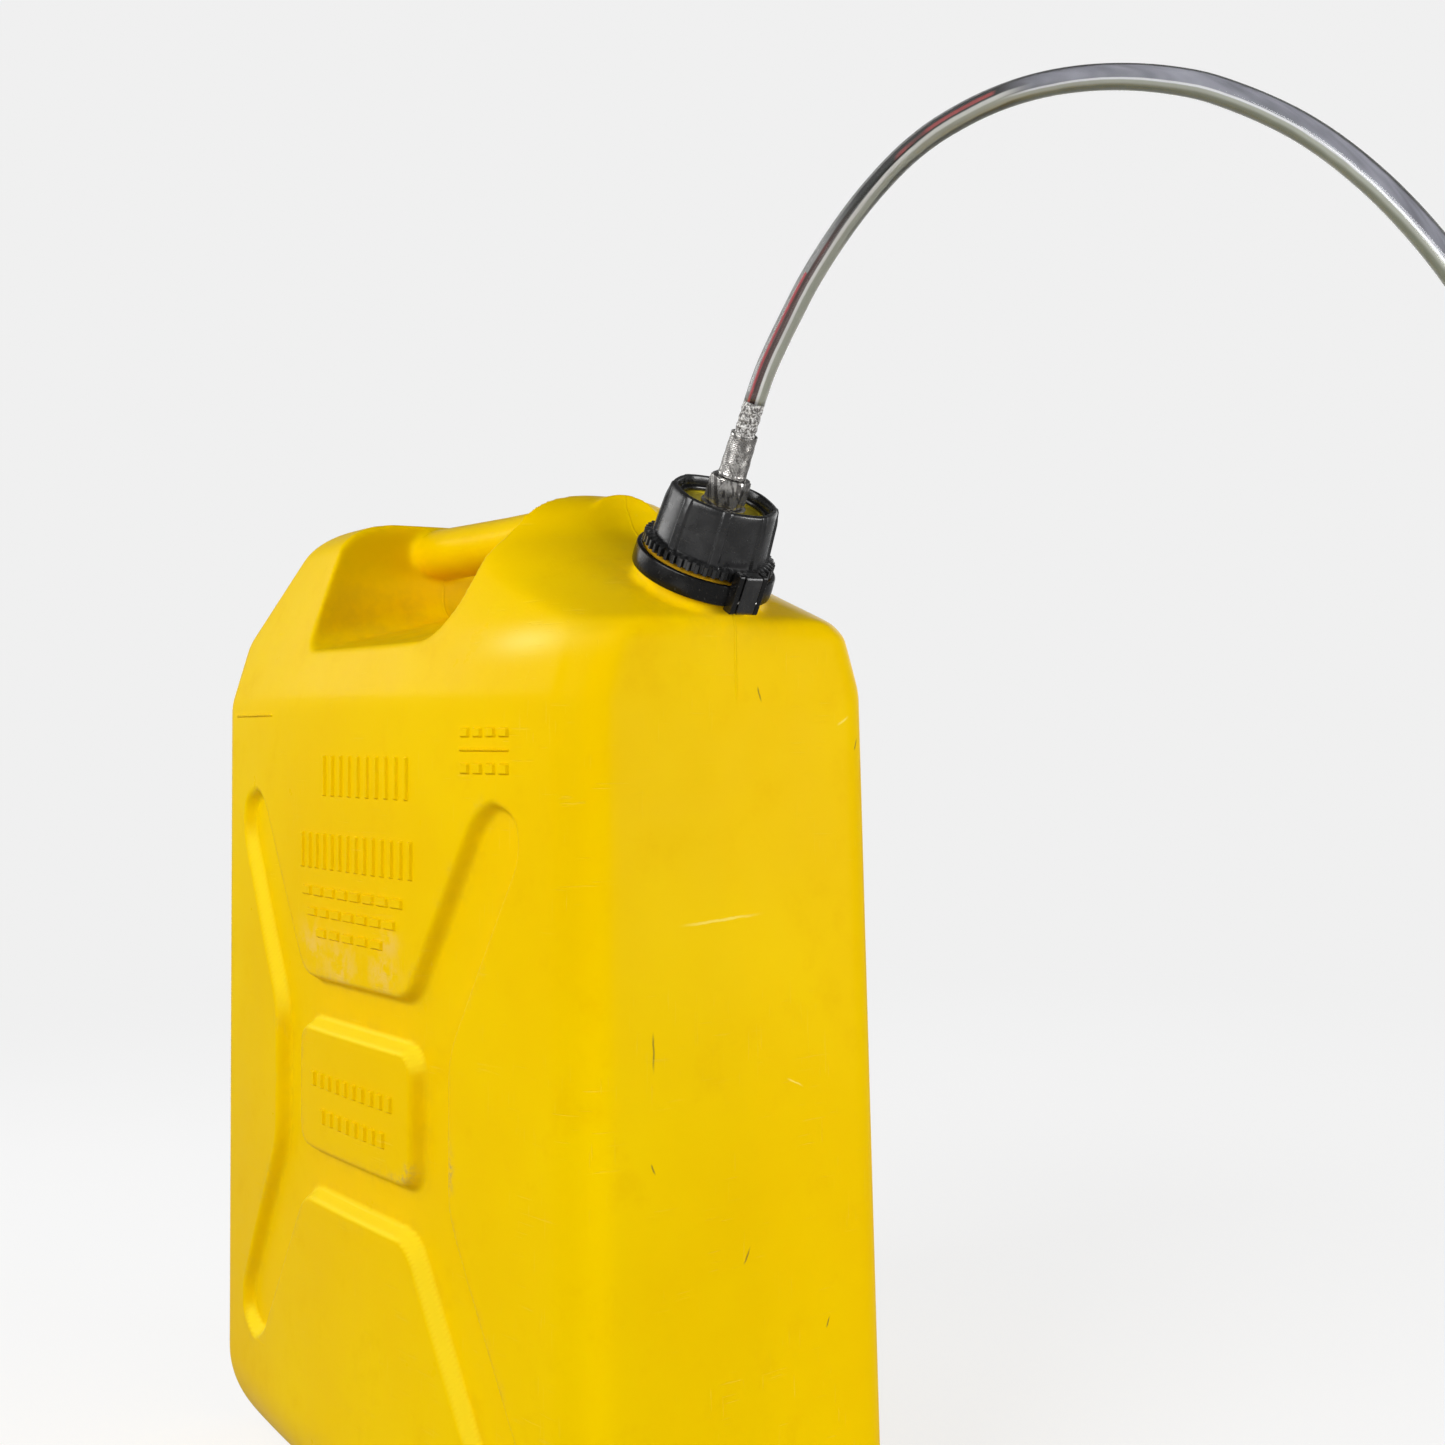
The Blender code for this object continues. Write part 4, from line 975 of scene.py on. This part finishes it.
def signed_distance(points, outline):
    """Distance to a closed outline, negative inside it."""
    a = outline
    b = np.roll(outline, -1, axis=0)
    best = np.full(len(points), 1e9)
    inside = np.zeros(len(points), bool)
    for (ax, az), (bx, bz) in zip(a, b):
        dx, dz = bx - ax, bz - az
        px, pz = points[:, 0] - ax, points[:, 1] - az
        size = dx * dx + dz * dz
        if size < 1e-16:
            continue
        t = np.clip((px * dx + pz * dz) / size, 0.0, 1.0)
        best = np.minimum(best, np.hypot(px - dx * t, pz - dz * t))
        crosses = (az > points[:, 1]) != (bz > points[:, 1])
        with np.errstate(divide="ignore", invalid="ignore"):
            side = points[:, 0] < (dx * (points[:, 1] - az) / dz + ax)
        inside ^= crosses & side
    return np.where(inside, -best, best)


def relief(x, z):
    """How deep the cross is cut at (x, z), and how near its upper and lower edges a point is."""
    points = np.stack([x, z - CHANNEL_Z], axis=1)
    arm = [(0.0835, 0.0260), (0.0870, 0.0360), (0.1315, 0.1090), (0.1300, 0.1250), (0.1120, 0.1320),
           (0.0990, 0.1240), (0.0490, 0.0500)]
    cross = four_fold(arm, (0.006, 0.012, 0.010, 0.010, 0.012, 0.010, 0.009))
    island = four_fold([(ISLAND_HALF_WIDTH, ISLAND_HALF_HEIGHT)], (0.009,))
    to_cross = -signed_distance(points, cross)
    to_island = signed_distance(points, island)
    cut = np.minimum(to_cross, to_island)
    most = CHANNEL_MOST - CHANNEL_FADE * (x / 0.12) ** 2
    return most * smooth_step(cut / CHANNEL_WALL), cut


# Middles and reaches (x, z, reach) of the rubbed places on the cross's edges, and of the chalky ones
WORN_SPOTS = ((0.036, 0.236, 0.014), (-0.038, 0.240, 0.012), (0.050, 0.160, 0.012), (0.086, 0.166, 0.014),
              (-0.086, 0.184, 0.012), (0.010, 0.235, 0.016), (-0.118, 0.066, 0.012), (0.094, 0.145, 0.008))
CHALK_SPOTS = ((-0.040, 0.245, 0.014), (0.030, 0.240, 0.013), (-0.010, 0.2385, 0.016), (0.036, 0.252, 0.008))
WORN_LEAST = 0.20            # wear of the cross's edges away from those places
STEEP = 0.9                  # slope at which an upward wall counts as fully lit
POCKET_GRIME_AND_SHADE = 0.85
POCKET_BOX = ((-0.078, 0.014, 0.086, 0.034), (-0.074, 0.014, 0.074, 0.014), (0.362, 0.008, 0.425, 0.030))
RING_GRIME_AND_SHADE = 1.1
RING_AT, RING_SPREAD = 0.029, (0.011, 0.012)    # from the neck's axis; outwards and upwards
BEAD_REACH, BEAD_HEIGHTS = 0.0262, (0.0072, 0.0110)
FOLD_AT = (0.127, 0.3725)    # (x, z) of the painted highlight on the fold above the broad face's right end
FOLD_SPREAD = (0.022, 0.0050)
NECK_BEAD = ((0.0, -0.016), (0.0252, -0.016), (0.0252, 0.0080), (0.0238, 0.0086), (0.0238, 0.0092),
             (0.0234, 0.0094), (0.0185, 0.0094), (0.0185, 0.0245), (0.0180, 0.0250), (0.0, 0.0250))


def near(x, z, spots, squash=1.0):
    """1 at the middle of each spot (x, z, reach), falling away softly round it."""
    return np.max([np.exp(-(np.hypot(x - at_x, (z - at_z) * squash) / reach) ** 2)
                   for at_x, at_z, reach in spots], axis=0)


def soft_box(place, box):
    """1 inside a box and 0 outside it. For each axis: low, its softness, high, its softness."""
    inside = 1.0
    for along, (low, low_soft, high, high_soft) in zip(place.T, box):
        inside = inside * smooth_step((along - low) / low_soft) * smooth_step((high - along) / high_soft)
    return inside


def can_mesh():
    """The moulded can without its cross: solids joined, remeshed and smoothed."""
    body = loose("jerry_can_body", loft("jerry_can_body", [body_section(z) for z in body_levels()]))
    boolean(body, loose("pocket", pocket_mesh()), "DIFFERENCE")
    boolean(body, loose("handle", handle_mesh()), "UNION")
    neck = loose("neck", turned("neck", NECK_BEAD, 96))
    neck.data.transform(NECK_FRAME)
    boolean(body, neck, "UNION")
    remesh = body.modifiers.new("remesh", "REMESH")
    remesh.mode = "VOXEL"
    remesh.voxel_size = VOXEL
    soften = body.modifiers.new("soften", "SMOOTH")
    soften.factor = 0.5
    soften.iterations = 7
    mesh = applied(body)
    bpy.data.objects.remove(body)
    return mesh


def read_vectors(mesh, name):
    values = np.empty(len(mesh.vertices) * 3)
    mesh.vertices.foreach_get(name, values)
    return values.reshape(-1, 3)


def make_can():
    mesh = can_mesh()
    place, normal = read_vectors(mesh, "co"), read_vectors(mesh, "normal")
    x, y, z = place.T
    wear_and_painted_light = {name: np.zeros(len(place)) for name in ("ridge", "hollow", "upward_wall_highlight", "chalk")}
    # The cross is cut into both broad faces
    face = (np.abs(normal[:, 1]) > 0.8) & (np.abs(x) < 0.150) & (z > 0.035) & (z < WALL_TOP)
    face_x, face_z, face_sign = x[face], z[face], np.sign(y[face])
    depth, cut = relief(face_x, face_z)
    place[face, 1] -= face_sign * depth
    # Rubbed ridges, and hollows darkened by grime and painted shade, on both sides of the channel's walls
    worn = np.maximum(WORN_LEAST, near(face_x, face_z, WORN_SPOTS))
    wear_and_painted_light["ridge"][face] = np.exp(-((cut + 0.0010) / 0.0024) ** 2) * worn
    wear_and_painted_light["hollow"][face] = np.exp(-((cut - 0.0055) / 0.0035) ** 2) * 0.6
    # Channel walls that face upwards get a painted highlight, paler the steeper they rise
    step = 0.0004
    rise = (relief(face_x, face_z + step)[0] - relief(face_x, face_z - step)[0]) / (2.0 * step)
    wear_and_painted_light["upward_wall_highlight"][face] = smooth_step(rise / STEEP)
    wear_and_painted_light["chalk"][face] = near(face_x, face_z, CHALK_SPOTS, 1.4) * (cut < 0.001) * (face_sign < 0.0)
    # Grime and painted shade in the hand hold and round the lock ring's foot, and painted shade on the neck's
    # bead
    to_neck = np.array(NECK_FRAME.inverted())
    local = place @ to_neck[:3, :3].T + to_neck[:3, 3]
    reach, height = np.hypot(local[:, 0], local[:, 1]), local[:, 2]
    near_ring = np.exp(-((reach - RING_AT) / RING_SPREAD[0]) ** 2 - (height / RING_SPREAD[1]) ** 2)
    grime_and_shade = POCKET_GRIME_AND_SHADE * soft_box(place, POCKET_BOX), RING_GRIME_AND_SHADE * near_ring
    wear_and_painted_light["hollow"] = np.max([wear_and_painted_light["hollow"], *grime_and_shade], axis=0)
    # The neck's bead between the lock ring and the collar gets painted shade
    on_bead = (reach < BEAD_REACH) & (height > BEAD_HEIGHTS[0]) & (height < BEAD_HEIGHTS[1])
    wear_and_painted_light["bead_shade"] = on_bead.astype(float)
    # A painted highlight on the fold above the broad face's right end, on faces turned towards -Y
    fold_highlight = ((x - FOLD_AT[0]) / FOLD_SPREAD[0]) ** 2 + ((z - FOLD_AT[1]) / FOLD_SPREAD[1]) ** 2
    wear_and_painted_light["fold_highlight"] = np.exp(-fold_highlight) * smooth_step(-normal[:, 1] / 0.6)
    mesh.vertices.foreach_set("co", place.ravel())
    for name, values in wear_and_painted_light.items():
        add_layer(mesh, name, values)
    mesh.update()
    add_piece("jerry_can_body", mesh, YELLOW, "can", "can_body")


make_can()

# Rows of plain raised ribs where the can has moulded lettering: (first x, last x, low z, high z,
# spacing, rib width)
RIB_ROWS = ((-0.028, 0.048, 0.311, 0.329, 0.0085, 0.0032), (-0.052, 0.052, 0.279, 0.295, 0.0080, 0.0034),
            (-0.050, 0.050, 0.2670, 0.2715, 0.0125, 0.0098), (-0.044, 0.044, 0.2580, 0.2622, 0.0126, 0.0098),
            (-0.034, 0.034, 0.2490, 0.2532, 0.0136, 0.0100), (-0.040, 0.042, 0.1835, 0.1905, 0.0082, 0.0048),
            (-0.030, 0.036, 0.1680, 0.1750, 0.0082, 0.0048), (0.092, 0.125, 0.3365, 0.3405, 0.0088, 0.0064),
            (0.092, 0.125, 0.3225, 0.3270, 0.0088, 0.0064), (0.091, 0.125, 0.3312, 0.3324, 0.0340, 0.0340),
            (-0.142, -0.090, 0.3462, 0.3474, 0.0520, 0.0520))
RIB_HEIGHT = 0.0011
RIB_SLOPE = 0.0007


def face_y(x, z):
    left, right, half_depth = body_extents(z)
    return face_bow(x - (right - left) / 2.0, (right + left) / 2.0, half_depth) - half_depth


def make_embossed_ribs():
    vertices = []
    faces = []
    for first, last, low, high, spacing, width in RIB_ROWS:
        # Heights across a rib, with the share of its full rise; the foot is sunk into the wall
        across = ((low, -1.5), (low, 0.0), (low + RIB_SLOPE, 1.0), (high - RIB_SLOPE, 1.0), (high, 0.0),
                  (high, -1.5))
        parts = max(2, round(width / 0.004))
        for number in range(max(1, int((last - first - width) / spacing + 1.5))):
            start = first + spacing * number
            stops = [(start + RIB_SLOPE + (width - 2.0 * RIB_SLOPE) * i / parts, 1.0)
                     for i in range(parts + 1)]
            stops = [(start, 0.0)] + stops + [(start + width, 0.0)]
            faces += sweep_faces(len(across), len(stops), len(vertices))
            vertices += [(x, face_y(x, z) - RIB_HEIGHT * (share if share < 0.0 else share * up), z)
                         for x, up in stops for z, share in across]
    ribs = add_piece("embossed_ribs", mesh_from("embossed_ribs", vertices, faces), YELLOW, "can",
                     smooth=False)
    crisp(ribs, 0.0002)


make_embossed_ribs()

# ------------------------------------------------------------------ cap, ring and latch

RING_INNER = 0.0255
RING_OUTER = 0.0278
RING_TOP = 0.0086
RING_BOTTOM = 0.0003
FLANGE_RADIUS = 0.0260
CAP_FOOT_RADIUS = 0.0222
CAP_RADIUS = 0.0208
CAP_BOTTOM = 0.0098
CAP_TOP = 0.0344
DISC_TOP = 0.0290
TEETH = 48
TOOTH_DEPTH = 0.0016
RIBS = 8
RIB_TURN = math.radians(8.0)
CAP_RIB_HEIGHT = 0.0010


def make_cap():
    """The collar: ratchet flange, flat panels between upright ribs, and an open top."""
    foot = CAP_BOTTOM + 0.0041
    wall_top = CAP_TOP - 0.0012
    outline = [(0.0192, CAP_BOTTOM), (0.0230, CAP_BOTTOM), (FLANGE_RADIUS, CAP_BOTTOM),
               (FLANGE_RADIUS, CAP_BOTTOM + 0.0034), (0.0238, CAP_BOTTOM + 0.0040)]
    outline += [(CAP_FOOT_RADIUS + (CAP_RADIUS - CAP_FOOT_RADIUS) * share, foot + (wall_top - foot) * share)
                for share in (i / 12 for i in range(12))]
    rim = ((0.0, 0.0009), (0.0003, 0.0003), (0.0008, 0.0), (0.0018, 0.0001), (0.0022, 0.0006))
    outline += [(CAP_RADIUS - inward, CAP_TOP - down) for inward, down in rim]
    lip = ((CAP_RADIUS - 0.0023, 0.0020), (0.0176, 0.0016), (0.0168, 0.0015), (0.0166, 0.0011),
           (0.0166, 0.0004), (0.0192, 0.0003))
    outline += [(radius, DISC_TOP + up) for radius, up in lip]
    spacing = 2.0 * math.pi / RIBS

    def reach(radius, height, angle):
        if radius > 0.0234 and height < CAP_BOTTOM + 0.0036:
            turn = (angle * TEETH / (2.0 * math.pi)) % 1.0
            notch = smooth_step((turn - 0.36) / 0.14) * (1.0 - smooth_step((turn - 0.86) / 0.14))
            return radius - TOOTH_DEPTH * notch
        if height < foot - 0.0002 or radius < CAP_RADIUS - 0.0024:
            return radius
        off = abs(((angle + RIB_TURN) % spacing) - spacing / 2.0) / spacing
        # Between the ribs the wall is nearly flat, so the open rim looks faintly eight-sided
        flat = radius - 0.0004 * (1.0 - smooth_step((0.5 - off) / 0.5))
        if radius < CAP_RADIUS - 0.0004:
            return flat
        rib = 1.0 - smooth_step((off - 0.070) / 0.060)
        return flat + CAP_RIB_HEIGHT * rib * (1.0 - 0.6 * smooth_step((height - CAP_TOP + 0.006) / 0.005))

    cap = add_piece("cap_screw_collar", turned("cap_screw_collar", outline, TEETH * 16, reach), BLACK_CAP,
                    "cap", "cap_collar", place=NECK_FRAME, smooth=False)
    shade_by_angle(cap, 38.0)


def shade_by_angle(piece, angle):
    """Smooth shading with sharp edges above an angle."""
    mesh = piece.data
    mesh.shade_smooth()
    work = bmesh.new()
    work.from_mesh(mesh)
    limit = math.radians(angle)
    for edge in work.edges:
        if len(edge.link_faces) == 2:
            edge.smooth = edge.calc_face_angle(0.0) < limit
    work.to_mesh(mesh)
    work.free()


def slab(name, profile, near_y, far_y):
    """A (radius, height) profile on the neck's +X side, between two depths."""
    return loft(name, [[(radius, y, height) for radius, height in profile] for y in (near_y, far_y)])


def make_ring():
    """The lock ring: a plain band with a small lip, and the latch's two cheeks."""
    band = rounded([(RING_INNER, RING_BOTTOM), (RING_OUTER - 0.0002, RING_BOTTOM), (RING_OUTER, 0.0030),
                    (RING_OUTER - 0.0002, RING_TOP), (RING_INNER, RING_TOP)], [0.0007] * 5, 3)
    ring = add_piece("lock_ring_band", turned("lock_ring_band", band, 192), BLACK_RING, "can", "lock_ring",
                     place=NECK_FRAME, smooth=False)
    shade_by_angle(ring, 35.0)
    profile = [(0.0262, -0.0010), (0.0306, -0.0010), (0.0312, -0.0002), (0.0312, 0.0142), (0.0306, 0.0150),
               (0.0266, 0.0150), (0.0266, 0.0092), (0.0262, 0.0084)]
    for side, name in ((-1, "latch_cheek_front"), (1, "latch_cheek_back")):
        cheek = add_piece(name, slab(name, profile, side * 0.0041, side * 0.0065), BLACK_RING, "can",
                          place=NECK_FRAME, smooth=False)
        crisp(cheek, 0.0004, 3)


def make_latch():
    profile = [(0.0288, -0.0008), (0.0310, -0.0008), (0.0318, 0.0004), (0.0318, 0.0140), (0.0312, 0.0148),
               (0.0267, 0.0148), (0.0267, 0.0104), (0.0288, 0.0092)]
    latch = add_piece("latch_pawl", slab("latch_pawl", profile, -0.0038, 0.0038), BLACK_CAP, "latch",
                      "latch_lever", place=NECK_FRAME, smooth=False)
    crisp(latch, 0.0005, 3)


def make_disc():
    """The yellow insert that the collar holds down, with a raised ring round the fitting."""
    outline = [(0.0053, 0.0268), (0.0186, 0.0268), (0.0186, 0.0290), (0.0163, 0.0290), (0.0158, 0.0287),
               (0.0112, 0.0287), (0.0108, 0.0290), (0.0053, 0.0290)]
    disc = add_piece("cap_insert_disc", turned("cap_insert_disc", outline, 96), DISC, "can", "insert_disc",
                     place=NECK_FRAME, smooth=False)
    crisp(disc, 0.0002)


make_cap()
make_ring()
make_latch()
make_disc()

# ------------------------------------------------------------------ floor and light

FLOOR_REACH = 14.0
PAPER = 0.871
FLOOR_GLOW = 0.755           # what the floor adds to its lit colour where the camera sees it
FLOOR_MIRROR_GLOW = 0.22     # the same where a glossy piece mirrors the floor
FLOOR_FAR_GLOW = 0.25        # share of the backdrop's brightness that the far floor throws on the can
SHEEN_AT = (0.20, -0.85, 0.0)
SHEEN_GLOW = 1.6             # the floor's glow there, mirrored in the upward walls of the cross
SHEEN_REACH = (0.12, 0.42)
FLOOR_FADE = (0.6, 1.7)      # the floor turns into the backdrop between these distances


def make_floor():
    """A pale round floor that fades into the backdrop's own brightness with distance."""
    sides = 64
    vertices = [(0.0, 0.0, 0.0)]
    for radius in (0.6, 1.2, 2.4, 5.0, FLOOR_REACH):
        vertices += [(radius * math.cos(angle), radius * math.sin(angle), 0.0) for angle in circle(sides)]
    faces = [(0, 1 + k, 1 + (k + 1) % sides) for k in range(sides)]
    for low in range(1, 1 + 4 * sides, sides):
        high = low + sides
        faces += [(low + k, high + k, high + (k + 1) % sides, low + (k + 1) % sides) for k in range(sides)]
    floor = loose("studio_floor", mesh_from("studio_floor", vertices, faces))
    look = Look("studio_floor_paper")
    look.set("Base Color", look.mix(look.noise(3.0, 3.0), (0.29, 0.29, 0.29), (0.31, 0.31, 0.31)))
    look.set("Roughness", 0.9)
    look.set("Specular IOR Level", 0.1)
    look.set("Emission Color", (1.0, 1.0, 1.0, 1.0))
    ray = look.node("LightPath")
    seen = ray.outputs["Is Camera Ray"]
    sheen = look.band(look.distance(SHEEN_AT), *SHEEN_REACH, SHEEN_GLOW, FLOOR_MIRROR_GLOW)
    look.set("Emission Strength", look.math("ADD", look.times(seen, FLOOR_GLOW),
                                            look.times(ray.outputs["Is Glossy Ray"], sheen)))
    far = look.node("Emission", Color=(PAPER, PAPER, PAPER, 1.0),
                    Strength=look.band(seen, 0.0, 1.0, FLOOR_FAR_GLOW, 1.0))
    blend_shaders(look.tree, look.band(look.distance((0.0, 0.0, 0.0)), *FLOOR_FADE), look.shader, far,
                  "Material Output")
    floor.data.materials.append(look.material)


def blend_shaders(tree, share, a, b, output):
    mixer = tree.nodes.new("ShaderNodeMixShader")
    for index, value in enumerate((share, a.outputs[0], b.outputs[0])):
        feed(tree, mixer.inputs[index], value)
    feed(tree, tree.nodes[output].inputs["Surface"], mixer.outputs[0])


def area_light(name, place, target, size, power):
    data = bpy.data.lights.new(name, "AREA")
    data.shape = "RECTANGLE"
    data.size, data.size_y = size
    data.energy = power
    light = loose(name, data)
    direction = Vector(target) - Vector(place)
    light.matrix_world = Matrix.Translation(place) @ direction.to_track_quat("-Z", "Y").to_matrix().to_4x4()


ROOM_STOPS = ((0.0, 0.45), (0.25, 0.36), (0.50, 0.15), (0.80, 0.08))    # (height, brightness)


def make_light():
    """A plain pale backdrop where it is seen, and for light a room that is dim overhead."""
    world = bpy.data.worlds.new("studio")
    bpy.context.scene.world = world
    world.use_nodes = True
    tree = world.node_tree
    new = tree.nodes.new
    back = tree.nodes["Background"]
    back.inputs["Color"].default_value = (PAPER, PAPER, PAPER, 1.0)
    height = new("ShaderNodeSeparateXYZ")
    feed(tree, height.inputs[0], new("ShaderNodeTexCoord").outputs["Generated"])
    ramp = new("ShaderNodeValToRGB")
    stops = ramp.color_ramp.elements
    stops[0].position, stops[1].position = ROOM_STOPS[0][0], ROOM_STOPS[-1][0]
    for position, _ in ROOM_STOPS[1:-1]:
        stops.new(position)
    for stop, (_, value) in zip(stops, ROOM_STOPS):
        stop.color = (value * 0.98, value * 0.99, value, 1.0)
    feed(tree, ramp.inputs[0], height.outputs["Z"])
    room = new("ShaderNodeBackground")
    feed(tree, room.inputs["Color"], ramp.outputs[0])
    ray = new("ShaderNodeLightPath")
    straight = new("ShaderNodeMath")
    straight.operation = "MAXIMUM"
    feed(tree, straight.inputs[0], ray.outputs["Is Camera Ray"])
    feed(tree, straight.inputs[1], ray.outputs["Is Transmission Ray"])
    blend_shaders(tree, straight.outputs[0], room, back, "World Output")
    area_light("key_window", (0.45, -2.00, 1.12), (0.0, 0.0, 0.25), (1.8, 1.2), 42.0)
    area_light("side_window", (1.95, 0.95, 0.22), (0.1, 0.0, 0.18), (1.3, 0.7), 37.0)
    area_light("left_strip", (-1.62, -1.00, 1.02), (0.0, 0.0, 0.36), (1.2, 0.40), 4.5)
    area_light("rear_fill", (-1.2, 2.0, 1.0), (0.0, 0.0, 0.25), (1.6, 1.2), 7.0)


make_floor()
make_light()
scene = bpy.context.scene
scene.view_settings.view_transform = "Standard"
scene.view_settings.look = "None"
